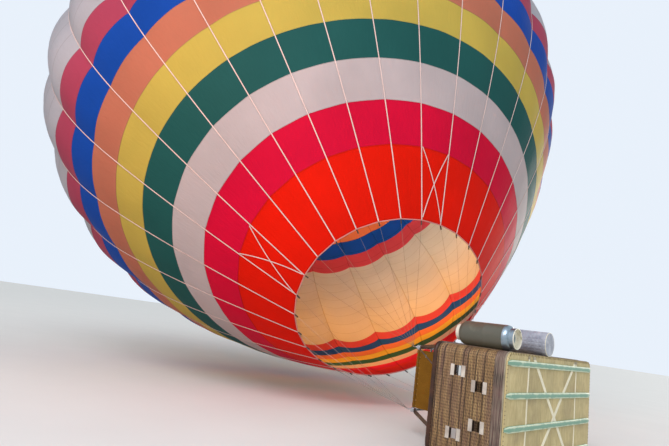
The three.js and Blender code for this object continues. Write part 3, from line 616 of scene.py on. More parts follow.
around = np.arange(GORES * 8) / 8
mouth_edge = cloth(0, around)
rope_path = mouth_edge + unit(mouth_edge - cloth(0.05, around)) * MOUTH_ROPE_RADIUS
tape_parts.append({**sweep(rope_path, ring(MOUTH_ROPE_RADIUS, 8), along_axis, close=True), "material": 1})
mouth_binding = woven("mouth_edge_binding", "#cf8f86", "#b5746b", 2.0)
load_tapes = make_piece("load_tapes_webbing", tape_parts, [webbing, mouth_binding])
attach(load_tapes, "root")
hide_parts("load_tapes")

# Crown ring: a ring of stainless bar in the middle of the crown. The upper ends of all the tapes loop round
# it, so that it ties their load together.
crown_tapes = np.arange(GORES * 3) / 3
crown_path = cloth(tape_top, crown_tapes, CROWN_RING_SECTION * 0.8, 0)
crown_bar = sweep(crown_path, ring(CROWN_RING_SECTION, 12), along_axis, close=True)


def metal(name, colour, roughness, scratch=0.0, worn="#6d6a66"):
    """Bare metal, drawn or turned: a gloss clouded by handling, and fine scratches as bump, drawn coarse
    enough to show."""
    material, tree = new_material(name)
    spot = add(tree, "TexCoord").outputs["Object"]
    cloud = add(tree, "TexNoise", {"Vector": spot, "Scale": 14.0, "Detail": 6})
    fine = add(tree, "TexNoise", {"Vector": spot, "Scale": 180.0, "Detail": 2})
    rough = add(tree, "MapRange", {"Value": cloud, "From Min": 0.3, "From Max": 0.7,
                                   "To Min": roughness * 0.75, "To Max": roughness * 1.35})
    tone = add(tree, "MapRange", {"Value": cloud, "From Min": 0.52, "From Max": 0.75,
                                  "To Min": 0.0, "To Max": 0.6})
    base = add(tree, "Mix", {"Factor": tone, "A": linear(colour), "B": linear(worn)}, data_type="RGBA")
    bump = add(tree, "Bump", {"Height": fine, "Strength": 0.15 + scratch, "Distance": 0.0005})
    cover = add(tree, "BsdfPrincipled", {"Base Color": base, "Metallic": 1.0, "Roughness": rough,
                                         "Normal": bump})
    add(tree, "OutputMaterial", {"Surface": cover})
    return material


stainless = metal("brushed_stainless_steel", "#b9bcc0", 0.28)
crown_ring = make_piece("crown_ring", [crown_bar], [stainless])
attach(crown_ring, "root")

# Place of the basket: its long axis and its side axis are the gimbal's two pivot axes. The pivot stands
# FRAME_HEIGHT over the floor, and FRAME_RISE off its middle. In basket sizes x runs along, y towards the side
# that lies uppermost, z to the rim.
joints = {joint["name"]: joint for joint in frame["joints"]}
basket_long = unit(np.array(joints["gimbal_tilt"]["axis"], float))
basket_side = unit(np.array(joints["burner_tilt"]["axis"], float))
basket_up = np.cross(basket_long, basket_side)
pivot = np.array(joints["gimbal_tilt"]["pos_m"], float)
FRAME_HEIGHT = 2.050
FRAME_RISE = 0.120


def basket(points):
    """Basket sizes (along, side, up) to the model's frame, from the gimbal's pivot."""
    points = np.asarray(points, float) - (0, FRAME_RISE, FRAME_HEIGHT)
    return pivot + points @ np.stack((basket_long, basket_side, basket_up))


def overhead(points):
    """Sizes from the gimbal's pivot (along, side, up) to the model's frame."""
    return pivot + np.asarray(points, float) @ np.stack((basket_long, basket_side, basket_up))


BASKET_LENGTH = 3.520
BASKET_WIDTH = 1.640
BASKET_HEIGHT = 1.170
CORNER_RADIUS = 0.150
FRAME_LENGTH = 1.800
FRAME_WIDTH = 1.080
FRAME_TUBE = 0.021
FRAME_KNUCKLE = 0.070

# Flying wires: stranded steel, one from each tape's end to a screw link on the frame's corner, seven to each.
# They hang a little slack while the envelope fills. A black heat sleeve covers each wire's loop at the mouth.
WIRE_RADIUS = 0.0026
LINK_LENGTH = 0.090
LINK_HALF_WIDTH = 0.026
LINK_WIRE = 0.008
LINK_NUT = 0.012
LINK_NUT_HALF = 0.020
SLEEVE_START = 0.012
SLEEVE_LENGTH = 0.090
SLEEVE_RADIUS = 0.014
WIRE_SAG = 0.012
QUARTERS = (
    # name, frame corner along and side, first angle of the quarter
    ("right_top", -1, 1, 0),
    ("right_low", -1, -1, 90),
    ("left_low", 1, -1, 180),
    ("left_top", 1, 1, 270),
)


def rubber(name, colour, roughness):
    """Moulded rubber or plastic, or a braided sleeve: matt, with pits 4 mm apart, as coarse as they need to
    show."""
    material, tree = new_material(name)
    spot = add(tree, "TexCoord").outputs["Object"]
    pits = add(tree, "TexNoise", {"Vector": spot, "Scale": 260.0, "Detail": 3})
    cloud = add(tree, "TexNoise", {"Vector": spot, "Scale": 9.0, "Detail": 4})
    base = add(tree, "Mix", {"Factor": cloud, "A": linear(colour), "B": linear("#4a4743")},
               data_type="RGBA")
    bump = add(tree, "Bump", {"Height": pits, "Strength": 0.4, "Distance": 0.001})
    cover = add(tree, "BsdfPrincipled", {"Base Color": base, "Roughness": roughness, "Normal": bump})
    add(tree, "OutputMaterial", {"Surface": cover})
    return material


black_sleeve = rubber("braided_heat_sleeve", "#1d1b1a", 0.8)
wire_steel = metal("stranded_steel_wire", "#8f8d87", 0.42, 0.2)


def hanging(start, end, sag, count=14):
    """A line between two points that hangs in a parabola: 4 x (1 - x) of its sag below the chord."""
    share = np.linspace(0, 1, count)[:, None]
    return start + (end - start) * share - np.array((0, 0, 4 * sag)) * share * (1 - share)


tape_ends = rope_path[::8]
tape_degrees = np.degrees(FIRST_TAPE + np.arange(GORES) * 2 * np.pi / GORES) % 360
for name, sx, sy, first_angle in QUARTERS:
    foot = overhead((sx * FRAME_LENGTH / 2, sy * FRAME_WIDTH / 2, FRAME_KNUCKLE / 2))
    eye = foot + basket_up * LINK_LENGTH
    ends = tape_ends[(tape_degrees >= first_angle) & (tape_degrees < first_angle + 90)]
    parts = []
    for end in ends:
        span = np.linalg.norm(end - eye)
        path = hanging(eye, end, WIRE_SAG * span)
        parts.append(sweep(path, ring(WIRE_RADIUS, 6)))
        way = unit(path[-2] - path[-1])
        loop = end + way * np.linspace(SLEEVE_START, SLEEVE_LENGTH, 6)[:, None]
        parts.append({**sweep(loop, ring(SLEEVE_RADIUS, 8), basket_long), "material": 1})
    turn = np.linspace(0, 2 * np.pi, 20, endpoint=False)[:, None]
    link_middle = foot + basket_up * LINK_LENGTH / 2
    link_path = (link_middle + basket_up * np.cos(turn) * (LINK_LENGTH / 2 + LINK_WIRE / 2)
                 + basket_long * np.sin(turn) * LINK_HALF_WIDTH)
    parts.append({**sweep(link_path, ring(LINK_WIRE, 10), basket_side, close=True), "material": 2})
    nut_path = (link_middle + basket_long * LINK_HALF_WIDTH
                + basket_up * np.linspace(-LINK_NUT_HALF, LINK_NUT_HALF, 4)[:, None])
    parts.append({**sweep(nut_path, ring(LINK_NUT, 6), basket_side), "material": 2})
    wires = make_piece(f"flying_wires_{name}_steel", parts, [wire_steel, black_sleeve, stainless])
    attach(wires, "root")
    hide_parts(f"flying_wires_{name}")

# Wicker walls: willow and cane woven round upright stakes 42 mm apart. Each weaver passes over one stake and
# under the next, neighbours alternate, and grooves run round between the bands where steel wires lie. The
# grooves, the gaps between rows and the dips under the stakes are darkened with painted shade.
WALL = 0.045
FLOOR_BOARD = 0.022
RIM_RADIUS = 0.042
STAKE_PITCH = 0.042
STAKE_RISE = 0.003
ROW_PITCH = 0.0115
WEAVE_DEPTH = 0.007
GROOVES = (0.343, 0.480, 0.612, 0.680, 0.836, 1.017, 1.112)
GROOVE_HALF = 0.010
GROOVE_DEPTH = 0.009
SEAM_GAP = 0.0003
FOOTHOLE_WIDTH = 0.145
FOOTHOLE_HEIGHT = 0.115
FOOTHOLES = ((-0.445, 0.755), (-0.268, 0.400), (0.268, 0.400), (0.445, 0.755))


def rounded_outline(length, width, radius, step):
    """Points about step apart round a rectangle with round corners, the way out at each, and the distance
    along it, which starts in the middle of the lower long side."""
    x, y = length / 2 - radius, width / 2 - radius
    arc = radius * np.pi / 2
    pieces = (x, arc, 2 * y, arc, 2 * x, arc, 2 * y, arc, x)
    edges = np.concatenate(([0], np.cumsum(pieces)))
    count = int(round(edges[-1] / step / 2)) * 2
    s = np.arange(count) * edges[-1] / count
    i = np.searchsorted(edges, s, side="right") - 1
    on = s - edges[i]
    first_angle = np.radians((-90, -90, 0, 0, 90, 90, 180, 180, 270))[i]
    angle = first_angle + np.where(i % 2 == 1, on / radius, 0)
    middles = np.array(((0, -y), (x, -y), (x, -y), (x, y), (x, y), (-x, y), (-x, y), (-x, -y), (-x, -y)))
    straight = np.where(i % 2 == 0, on, 0)[:, None]
    out = np.stack((np.cos(angle), np.sin(angle)), -1)
    along = np.stack((-out[:, 1], out[:, 0]), -1)
    return middles[i] + out * radius + along * straight, out, s


def groove(z):
    """One at the middle of a groove and falling off as a bell curve to nothing between them."""
    gaps = np.abs(np.asarray(z)[..., None] - GROOVES).min(-1)
    return np.exp(-(gaps / GROOVE_HALF) ** 2)


def weave(s, z):
    """Height of the weave: a round hump across each row, over every second stake and under the next, on a low
    ridge at each stake, with a trough at each groove."""
    row = np.floor(z / ROW_PITCH)
    across = np.sqrt(np.abs(np.sin(np.pi * z / ROW_PITCH)) + 0.02)
    over = 0.5 + 0.5 * np.cos(np.pi * (s / STAKE_PITCH + row))
    ridge = np.cos(np.pi * s / STAKE_PITCH) ** 2
    humps = WEAVE_DEPTH * across * (0.35 + 0.65 * over) + STAKE_RISE * ridge
    return humps * (1 - groove(z)) - GROOVE_DEPTH * groove(z)


def wicker():
    """Boiled willow and split cane, golden to purple brown: each weaver drifts in tone along its length.
    Painted shade darkens the line where rows part and the dips under the stakes, and makes the grooves nearly
    black.
    The face is waxy, with fine fibres along it."""
    material, tree = new_material("woven_willow_wicker")
    place = add(tree, "UVMap", uv_map="surface")
    axis = add(tree, "SeparateXYZ", {"Vector": place})
    row = add(tree, "Math", {0: axis.outputs["Y"], 1: 1 / ROW_PITCH}, operation="MULTIPLY")
    row_number = add(tree, "Math", {0: row}, operation="FLOOR")
    row_share = add(tree, "Math", {0: row}, operation="FRACT")
    # Painted shade: a dark line where each row parts from the next
    edge = add(tree, "Math", {0: row_share, 1: 0.5}, operation="SUBTRACT")
    edge = add(tree, "Math", {0: edge}, operation="ABSOLUTE")
    gap = add(tree, "MapRange", {"Value": edge, "From Min": 0.28, "From Max": 0.5, "To Max": 0.75})
    # Painted shade: darker where the weaver dips under a stake
    phase = add(tree, "Math", {0: axis.outputs["X"], 1: 1 / STAKE_PITCH, 2: row_number},
                operation="MULTIPLY_ADD")
    phase = add(tree, "Math", {0: phase, 1: np.pi}, operation="MULTIPLY")
    over = add(tree, "Math", {0: phase}, operation="COSINE")
    under = add(tree, "MapRange", {"Value": over, "From Min": -1.0, "From Max": -0.2,
                                   "To Min": 0.8, "To Max": 0.0})
    dark = add(tree, "Math", {0: gap, 1: under}, operation="MAXIMUM")
    # Painted shade: the grooves are darkened nearly to black
    trough = add(tree, "Attribute", attribute_name="groove").outputs["Fac"]
    dark = add(tree, "Math", {0: dark, 1: trough}, operation="MAXIMUM")
    along = add(tree, "Math", {0: axis.outputs["X"], 1: 2.6}, operation="MULTIPLY")
    apart = add(tree, "Math", {0: row_number, 1: 5.37}, operation="MULTIPLY")
    strand = add(tree, "CombineXYZ", {"X": along, "Y": apart})
    tone = add(tree, "TexNoise", {"Vector": strand, "Scale": 1.0, "Detail": 3})
    ramp = add(tree, "ValToRGB", {"Fac": tone})
    colours = ((0.32, "#654b38"), (0.44, "#896946"), (0.55, "#a58456"), (0.68, "#c1a16e"))
    for at, colour in colours[1:-1]:
        ramp.color_ramp.elements.new(at)
    for element, (at, colour) in zip(ramp.color_ramp.elements, colours):
        element.position = at
        element.color = linear(colour)
    patch = add(tree, "Mapping", {"Vector": place, "Scale": (0.9, 7.0, 1.0)})
    patches = add(tree, "TexNoise", {"Vector": patch, "Scale": 1.0, "Detail": 3})
    purple = add(tree, "MapRange", {"Value": patches, "From Min": 0.45, "From Max": 0.7, "To Max": 0.45})
    tinted = add(tree, "Mix", {"Factor": purple, "A": ramp, "B": linear("#77585a")}, data_type="RGBA")
    # The painted shade of row gaps, dips and grooves is mixed towards dark brown here
    base = add(tree, "Mix", {"Factor": dark, "A": tinted, "B": linear("#2b1d15")}, data_type="RGBA")
    fibre = add(tree, "Mapping", {"Vector": place, "Scale": (40.0, 900.0, 1.0)})
    grain = add(tree, "TexNoise", {"Vector": fibre, "Scale": 1.0, "Detail": 3})
    bump = add(tree, "Bump", {"Height": grain, "Strength": 0.4, "Distance": 0.001})
    cover = add(tree, "BsdfPrincipled", {"Base Color": base, "Roughness": 0.6, "Normal": bump,
                                         "Specular IOR Level": 0.35})
    add(tree, "OutputMaterial", {"Surface": cover})
    return material


willow = wicker()


def weave_rows(low, high, step):
    """Heights from low to high on whole steps, with the two ends themselves."""
    return np.concatenate(([low], np.arange(np.ceil(low / step + 0.1), high / step - 0.1) * step, [high]))


def wall_half(first_half):
    """Half of the woven tub: every row of weave up the outside and plainer rows down the inside, closed all
    round."""
    flat, out, s = rounded_outline(BASKET_LENGTH, BASKET_WIDTH, CORNER_RADIUS, STAKE_PITCH / 2)
    count = len(s)
    pick = np.arange(0, count // 2 + 1) if first_half else np.arange(count // 2, count + 1)
    flat, out = flat[pick % count], out[pick % count]
    s = pick * s[1]
    bottom, top = FLOOR_BOARD + SEAM_GAP, BASKET_HEIGHT - RIM_RADIUS
    outer_z = weave_rows(bottom, top, ROW_PITCH / 2)
    inner_z = weave_rows(bottom, top, ROW_PITCH * 1.5)[::-1]
    z = np.concatenate((outer_z, inner_z))
    inside = np.arange(len(z)) >= len(outer_z)
    ss, zz = np.meshgrid(s, z)
    depth = weave(ss, zz) - WEAVE_DEPTH - STAKE_RISE
    offset = np.where(inside[:, None], -WALL - depth * 0.6, depth)
    place = flat[None] + out[None] * offset[..., None]
    points = basket(np.concatenate((place, zz[..., None]), -1)).transpose(1, 0, 2)
    uv = np.stack(np.meshgrid(s, np.append(z, z[0]), indexing="ij"), -1)
    return {**grid_part(points, uv, False, True), "marks": {"groove": groove(zz.T)}}


def cut(piece, tools):
    """Cuts closed parts out of a piece and keeps the result as its plain mesh."""
    cutter = make_piece(piece.name + "_cutter", tools, [])
    modifier = piece.modifiers.new("cut", "BOOLEAN")
    modifier.operation, modifier.solver, modifier.object = "DIFFERENCE", "MANIFOLD", cutter
    depsgraph = bpy.context.evaluated_depsgraph_get()
    result = bpy.data.meshes.new_from_object(piece.evaluated_get(depsgraph))
    old = piece.data
    piece.modifiers.clear()
    piece.data = result
    bpy.data.meshes.remove(old)
    bpy.data.objects.remove(cutter)


def box_part(size, centre, place=basket):
    """A plain box of that size in basket sizes."""
    signs = np.array([[(x, y, z) for x, y in ((-1, -1), (1, -1), (1, 1), (-1, 1))] for z in (-1, 1)], float)
    return grid_part(place(np.asarray(centre) + signs * np.asarray(size) / 2), None, False, True)


for half, first_half in (("near", True), ("far", False)):
    wall = make_piece(f"basket_wall_{half}_weave", [wall_half(first_half)], [willow], sharp=80)
    cut(wall, [box_part((0.6, FOOTHOLE_WIDTH, FOOTHOLE_HEIGHT),
                        ((1 if first_half else -1) * BASKET_LENGTH / 2, y, z)) for y, z in FOOTHOLES])
    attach(wall, "root")
    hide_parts("basket_wicker_walls")


def leather(name, colour, dark, roughness=0.5, grain=4.0, scuffed=0.0):
    """Cow hide, clouded between two tones, with a dull shine. Its pebbled grain of grain mm is drawn coarser
    than real, so that it shows. Scuffed hide has pale rubs along its length, where the basket drags."""
    material, tree = new_material(name)
    spot = add(tree, "TexCoord").outputs["Object"]
    pebble = add(tree, "TexVoronoi", {"Vector": spot, "Scale": 1000 / grain})
    cloud = add(tree, "TexNoise", {"Vector": spot, "Scale": 5.0, "Detail": 6})
    tone = add(tree, "MapRange", {"Value": cloud, "From Min": 0.35, "From Max": 0.65})
    hide = add(tree, "Mix", {"Factor": tone, "A": linear(dark), "B": linear(colour)}, data_type="RGBA")
    place = add(tree, "UVMap", uv_map="surface")
    stretched = add(tree, "Mapping", {"Vector": place, "Scale": (3.0, 75.0, 1.0)})
    rub = add(tree, "TexNoise", {"Vector": stretched, "Scale": 1.0, "Detail": 4})
    rubbed = add(tree, "MapRange", {"Value": rub, "From Min": 0.42, "From Max": 0.66, "To Max": scuffed})
    base = add(tree, "Mix", {"Factor": rubbed, "A": hide, "B": linear("#b3a58c")}, data_type="RGBA")
    bump = add(tree, "Bump", {"Height": pebble, "Strength": 0.3, "Distance": 0.001})
    cover = add(tree, "BsdfPrincipled", {"Base Color": base, "Roughness": roughness, "Normal": bump,
                                         "Specular IOR Level": 0.4})
    add(tree, "OutputMaterial", {"Surface": cover})
    return material


def stitch(place, across, out, length=0.026, lift=0.006, radius=0.003):
    """One stitch of lacing: half an ellipse of cord, length across the seam and lift proud of it."""
    turn = np.linspace(0, np.pi, 6)[:, None]
    path = place + across * np.cos(turn) * length / 2 + out * np.sin(turn) * lift
    return sweep(path, ring(radius, 5), np.cross(across, out))


# Foothole patches: pale rawhide strips sewn over the weave above and below each foothole, and dark leather
# that lines the hole's upper and lower face.
PATCH_REACH = 0.065
rawhide = leather("pale_rawhide", "#cfc4b4", "#a5988a", 0.6)
dark_hide = leather("dark_saddle_leather", "#4d3d33", "#2c211b", 0.5)

patch_parts = []
for end in (1, -1):
    for y, z in FOOTHOLES:
        for side in (1, -1):
            centre = (end * (BASKET_LENGTH / 2 + 0.002), y, z + side * (FOOTHOLE_HEIGHT + PATCH_REACH) / 2)
            patch_parts.append(box_part((0.008, FOOTHOLE_WIDTH + 0.02, PATCH_REACH - 0.004), centre))
            lip = (end * (BASKET_LENGTH / 2 - WALL / 2), y, z + side * (FOOTHOLE_HEIGHT / 2 - 0.002))
            patch_parts.append({**box_part((WALL + 0.012, FOOTHOLE_WIDTH, 0.004), lip), "material": 1})
patches = make_piece("foothole_patches", patch_parts, [rawhide, dark_hide])
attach(patches, "root")

# Padded rim: foam round the top of the walls, wrapped in dark waxed leather and laced underneath. It swells a
# little between the stitches.
RIM_SWELL = 0.035
RIM_SWELL_PITCH = 0.140
rim_flat, _, rim_s = rounded_outline(BASKET_LENGTH - WALL, BASKET_WIDTH - WALL, CORNER_RADIUS - WALL / 2,
                                     0.035)
rim_path = basket(np.column_stack((rim_flat, np.full(len(rim_flat), BASKET_HEIGHT + SEAM_GAP))))
swell = 1 + RIM_SWELL * np.sin(rim_s * 2 * np.pi / RIM_SWELL_PITCH)
rim_section = ring(RIM_RADIUS, 16)[None] * swell[:, None, None] * 0.97
rim_hide = leather("waxed_rim_leather", "#4d2a14", "#251409", 0.4)
rim = make_piece("padded_leather_rim", [sweep(rim_path, rim_section, basket_up, close=True)], [rim_hide])
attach(rim, "root")
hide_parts("padded_rim")

# Lacing: rawhide thonging that holds the rim's leather, the base band's upper edge and the floor's edge to
# the weave, one stitch every few fingers' widths.
LACE_PITCH = 0.055
FLOOR_STITCH = 0.034
BAND_HEIGHT = 0.190


def outline_way(out):
    """Ways out of the rounded walls as directions in the model's frame."""
    return out @ np.stack((basket_long, basket_side))


thong = leather("rawhide_thong", "#7d6446", "#4f3c28", 0.6)
lace_flat, lace_out, _ = rounded_outline(BASKET_LENGTH, BASKET_WIDTH, CORNER_RADIUS, LACE_PITCH)
lace_way = outline_way(lace_out)
lace_parts = []
for flat, out, way in zip(lace_flat, lace_out, lace_way):
    rim_edge = basket((*(flat - out * 0.004), BASKET_HEIGHT - RIM_RADIUS + 0.004))
    band_edge = basket((*(flat + out * 0.003), BAND_HEIGHT))
    floor_edge = basket((*(flat - out * 0.016), 0.001))
    lace_parts.append(stitch(rim_edge, basket_up, way))
    lace_parts.append(stitch(band_edge, basket_up, way))
    lace_parts.append(stitch(floor_edge, way, -basket_up, FLOOR_STITCH))
lacing = make_piece("rawhide_lacing", lace_parts, [thong])
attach(lacing, "root")

# Leather band: a strip of scuffed hide laced round the foot of the walls, where the basket drags, with a pale
# worn edge round its lower side.
BAND_THICKNESS = 0.005
EDGE_THICKNESS = 0.007
EDGE_HEIGHT = 0.020
band_flat, band_out, band_s = rounded_outline(BASKET_LENGTH, BASKET_WIDTH, CORNER_RADIUS, 0.03)


def round_band(low, high, inner, outer, material):
    """A strip round the walls between two heights, with its edges rolled."""
    rows = np.array(((inner, low), (outer - 0.002, low), (outer, low + 0.003), (outer, high - 0.003),
                     (outer - 0.002, high), (inner, high)))
    place = band_flat[None] + band_out[None] * rows[:, None, :1]
    points = basket(np.concatenate((place, np.broadcast_to(rows[:, None, 1:], (*place.shape[:2], 1))), -1))
    uv = np.stack(np.meshgrid(np.append(band_s, band_s[-1] + 0.03), np.append(rows[:, 1], low)), -1)
    return {**grid_part(points, uv, True, True), "material": material}


foot_hide = leather("scuffed_hide", "#634a42", "#3a2924", 0.65, 5.0, 0.4)
edge_hide = leather("worn_edge_hide", "#a39a80", "#7b7159", 0.7, 5.0, 0.4)
base_band = make_piece("leather_base_band_laced", [
    round_band(FLOOR_BOARD + SEAM_GAP, BAND_HEIGHT, SEAM_GAP, BAND_THICKNESS, 0),
    round_band(FLOOR_BOARD + SEAM_GAP, FLOOR_BOARD + EDGE_HEIGHT, BAND_THICKNESS, EDGE_THICKNESS, 1),
], [foot_hide, edge_hide])
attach(base_band, "root")
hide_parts("leather_base_band")

# Floor boards: six boards of bare marine plywood that lie across the basket, tongued into each other and
# bolted to the runners. The outer two are rounded to the corners of the walls.
BOARD_SEAMS = (-1.76, -0.98, -0.42, 0.04, 0.50, 1.05, 1.76)
BOARD_GAP = 0.005
BOARD_TONES = (0.2, -0.5, 0.6, -0.1, -0.9, 0.4)
TONGUE = 0.008
# Tone of the tongues: painted shade, which darkens the gaps between the boards
SHADED_TONGUE = -6


def wood():
    """Bare plywood: faint long grain, water stains across it, and each board a tone of its own. The tongues
    in the seams take a much darker tone, as painted shade in the gaps between the boards.
    """
    material, tree = new_material("weathered_plywood_board")
    place = add(tree, "UVMap", uv_map="surface")
    stretched = add(tree, "Mapping", {"Vector": place, "Scale": (22.0, 1.6, 1.0)})
    grain = add(tree, "TexNoise", {"Vector": stretched, "Scale": 2.5, "Detail": 6, "Distortion": 1.2})
    spot = add(tree, "TexCoord").outputs["Object"]
    cloud = add(tree, "TexNoise", {"Vector": spot, "Scale": 2.1, "Detail": 7, "Roughness": 0.6})
    sheet = add(tree, "Mapping", {"Vector": place, "Scale": (1.7, 3.2, 1.0)})
    stain = add(tree, "TexNoise", {"Vector": sheet, "Scale": 1.0, "Detail": 4})
    ramp = add(tree, "ValToRGB", {"Fac": grain})
    colours = ((0.3, "#ac9868"), (0.5, "#beab78"), (0.7, "#cabb8b"))
    ramp.color_ramp.elements.new(colours[1][0])
    for element, (at, colour) in zip(ramp.color_ramp.elements, colours):
        element.position = at
        element.color = linear(colour)
    tone = add(tree, "MapRange", {"Value": cloud, "From Min": 0.3, "From Max": 0.7,
                                  "To Min": 0.84, "To Max": 1.12})
    # Each board's own tone, and painted shade on the tongues
    board = add(tree, "Attribute", attribute_name="board").outputs["Fac"]
    tone = add(tree, "Math", {0: board, 1: 0.1, 2: tone}, operation="MULTIPLY_ADD")
    lit = add(tree, "Mix", {"Factor": 1.0, "A": ramp, "B": tone}, data_type="RGBA", blend_type="MULTIPLY")
    soaked = add(tree, "MapRange", {"Value": stain, "From Min": 0.52, "From Max": 0.70, "To Max": 0.45})
    base = add(tree, "Mix", {"Factor": soaked, "A": lit, "B": linear("#94805f")}, data_type="RGBA")
    bump = add(tree, "Bump", {"Height": grain, "Strength": 0.2, "Distance": 0.002})
    cover = add(tree, "BsdfPrincipled", {"Base Color": base, "Roughness": 0.7, "Normal": bump})
    add(tree, "OutputMaterial", {"Surface": cover})
    return material


softwood = wood()


def board_edge(x):
    """Half width of the rounded floor at a place along the basket."""
    over = np.maximum(np.abs(x) - (BASKET_LENGTH / 2 - CORNER_RADIUS), 0)
    return BASKET_WIDTH / 2 - CORNER_RADIUS + np.sqrt(np.maximum(CORNER_RADIUS ** 2 - over ** 2, 0))


board_parts = []
for start, end, tone in zip(BOARD_SEAMS[:-1], BOARD_SEAMS[1:], BOARD_TONES):
    x = start + (end - start) * (0.5 - 0.5 * np.cos(np.linspace(0.06, 1 - 0.06, 14) * np.pi))
    x[0], x[-1] = start + BOARD_GAP / 2, end - BOARD_GAP / 2
    half = board_edge(x)
    section = np.stack([np.stack((x, side * half, np.full(len(x), z)), -1)
                        for side, z in ((-1, 0), (1, 0), (1, FLOOR_BOARD), (-1, FLOOR_BOARD))], 1)
    uv = np.stack(np.meshgrid(np.array((0, 1, 1, 0, 0)) * BASKET_WIDTH, x), -1)
    board_parts.append({**grid_part(basket(section), uv[..., ::-1], False, True),
                        "marks": {"board": np.full(section.shape[:2], tone)}})
    if end < BOARD_SEAMS[-1]:
        tongue = box_part((TONGUE, 2 * half[-1] - 0.02, TONGUE), (end, 0, FLOOR_BOARD / 2))
        board_parts.append({**tongue, "marks": {"board": np.full(len(tongue["points"]), SHADED_TONGUE)}})
boards = make_piece("basket_floor_planks", board_parts, [softwood])
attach(boards, "root")
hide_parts("basket_floor_boards")

# Runners: four skids of ash under the boards, bevelled along both edges and drawn in at both ends. They are
# in pale green enamel, and take the drag when the basket slides.
RUNNER_PITCH = 0.448
RUNNER_WIDTH = 0.090
RUNNER_DEPTH = 0.028
RUNNER_NOSE = 0.110
RUNNER_TIP = 0.008
RUNNER_ROWS = 24
RUNNER_GIRTH = 0.150
RUNNER_BEVEL = 0.035
RUNNER_SHORT = 0.010
RUNNER_SECTION = np.array(((-1, 0), (1, 0), (1, 0.55), (0.8, 0.9), (0.45, 1), (-0.45, 1), (-0.8, 0.9),
                           (-1, 0.55)))


def runner_paint():
    """Pale green enamel on ash, rubbed to the primer in patches and along both bevels; the pale stripe along
    the bevels is also a painted highlight where the edges catch the light. The map's first coordinate runs
    round the section, RUNNER_GIRTH is the middle of the lower face, and the bevels lie RUNNER_BEVEL to each
    side of it."""
    material, tree = new_material("rubbed_green_enamel_painted_highlight")
    place = add(tree, "UVMap", uv_map="surface")
    girth = add(tree, "SeparateXYZ", {"Vector": place})
    # Painted highlight: a pale stripe along each bevel, where the edge catches the light, added to the rubbed
    # wear
    off = add(tree, "Math", {0: girth.outputs["X"], 1: RUNNER_GIRTH}, operation="SUBTRACT")
    off = add(tree, "Math", {0: off}, operation="ABSOLUTE")
    off = add(tree, "Math", {0: off, 1: RUNNER_BEVEL}, operation="SUBTRACT")
    off = add(tree, "Math", {0: off}, operation="ABSOLUTE")
    bevel_highlight = add(tree, "MapRange", {"Value": off, "From Min": 0.004, "From Max": 0.020,
                                   "To Min": 0.34, "To Max": 0.0})
    spot = add(tree, "TexCoord").outputs["Object"]
    cloud = add(tree, "TexNoise", {"Vector": spot, "Scale": 7.0, "Detail": 8, "Roughness": 0.62})
    rub = add(tree, "Math", {0: cloud, 1: bevel_highlight}, operation="ADD")
    worn = add(tree, "MapRange", {"Value": rub, "From Min": 0.58, "From Max": 0.80})
    base = add(tree, "Mix", {"Factor": worn, "A": linear("#779f86"),
                             "B": linear("#c8d3b5")}, data_type="RGBA")
    bump = add(tree, "Bump", {"Height": cloud, "Strength": 0.12, "Distance": 0.002})
    cover = add(tree, "BsdfPrincipled", {"Base Color": base, "Roughness": 0.5, "Normal": bump})
    add(tree, "OutputMaterial", {"Surface": cover})
    return material


green_enamel = runner_paint()
for i in range(4):
    y = (i - 1.5) * RUNNER_PITCH
    half = BASKET_LENGTH / 2 - RUNNER_SHORT
    x = np.concatenate(([-half], np.linspace(RUNNER_NOSE - half, half - RUNNER_NOSE, RUNNER_ROWS), [half]))
    nose = np.ones(RUNNER_ROWS + 2)
    nose[[0, -1]] = RUNNER_TIP / RUNNER_DEPTH
    taper = np.stack((0.35 + 0.65 * nose, nose), -1)[:, None]
    section = RUNNER_SECTION[None] * (RUNNER_WIDTH / 2, RUNNER_DEPTH) * taper
    path = basket(np.stack((x, np.full(len(x), y), np.full(len(x), -SEAM_GAP)), -1))
    runner = make_piece(f"green_runner_{i + 1}", [sweep(path, section, -basket_up)], [green_enamel])
    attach(runner, "root")
    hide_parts(f"floor_runner_{i + 1}")

# Support webbing: cream straps that pass under the boards, two straight at the passenger ends and a crossed
# pair in the middle, and carry on up inside the walls. Leather plates guard the slots where they go in.
STRAP_THICKNESS = 0.005
STRAP_END = 0.050
PLATE_LAP = 0.016
PLATE_HALF = 0.020
STRAP_PLACES = (
    # place along at the lower side, at the upper side, half width
    (1.05, 1.05, 0.019),
    (-0.98, -0.98, 0.019),
    (0.64, -0.92, 0.034),
    (-0.69, 0.86, 0.034),
)
strap_parts = []
for low_x, high_x, half_width in STRAP_PLACES:
    y = np.linspace(-BASKET_WIDTH / 2 + STRAP_END, BASKET_WIDTH / 2 - STRAP_END, 40)
    x = np.interp(y, (y[0], y[-1]), (low_x, high_x)) + 0.004 * np.sin(y * 9)
    strap_parts.append(strip(basket(np.stack((x, y, np.full(40, -SEAM_GAP)), -1)), -basket_up, half_width,
                             STRAP_THICKNESS + 0.002 * (low_x > 0)))
    for end in (0, -1):
        plate = basket((x[end], y[end], -0.004))
        plate_half = np.array(((-1, -1), (1, -1), (1, 1), (-1, 1))) * (half_width + PLATE_LAP, PLATE_HALF)
        rows = [plate + (plate_half * inset) @ np.stack((basket_long, basket_side)) - basket_up * lift
                for inset, lift in ((1, -0.0035), (1, 0.0045), (0.92, 0.006))]
        strap_parts.append({**grid_part(np.stack(rows), None, False, True), "material": 1})
floor_webbing = woven("cream_floor_webbing", "#fbf3d6", "#e6dab4", 3.0)
support_straps = make_piece("floor_support_straps", strap_parts, [floor_webbing, edge_hide])
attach(support_straps, "root")

# Partitions: willow woven round stakes as in the walls, alike on both faces. Two stand across the basket and
# one runs along the middle of each passenger end.
PARTITION = 0.040
PARTITION_HEIGHT = 1.110
PILOT_HALF = 0.420


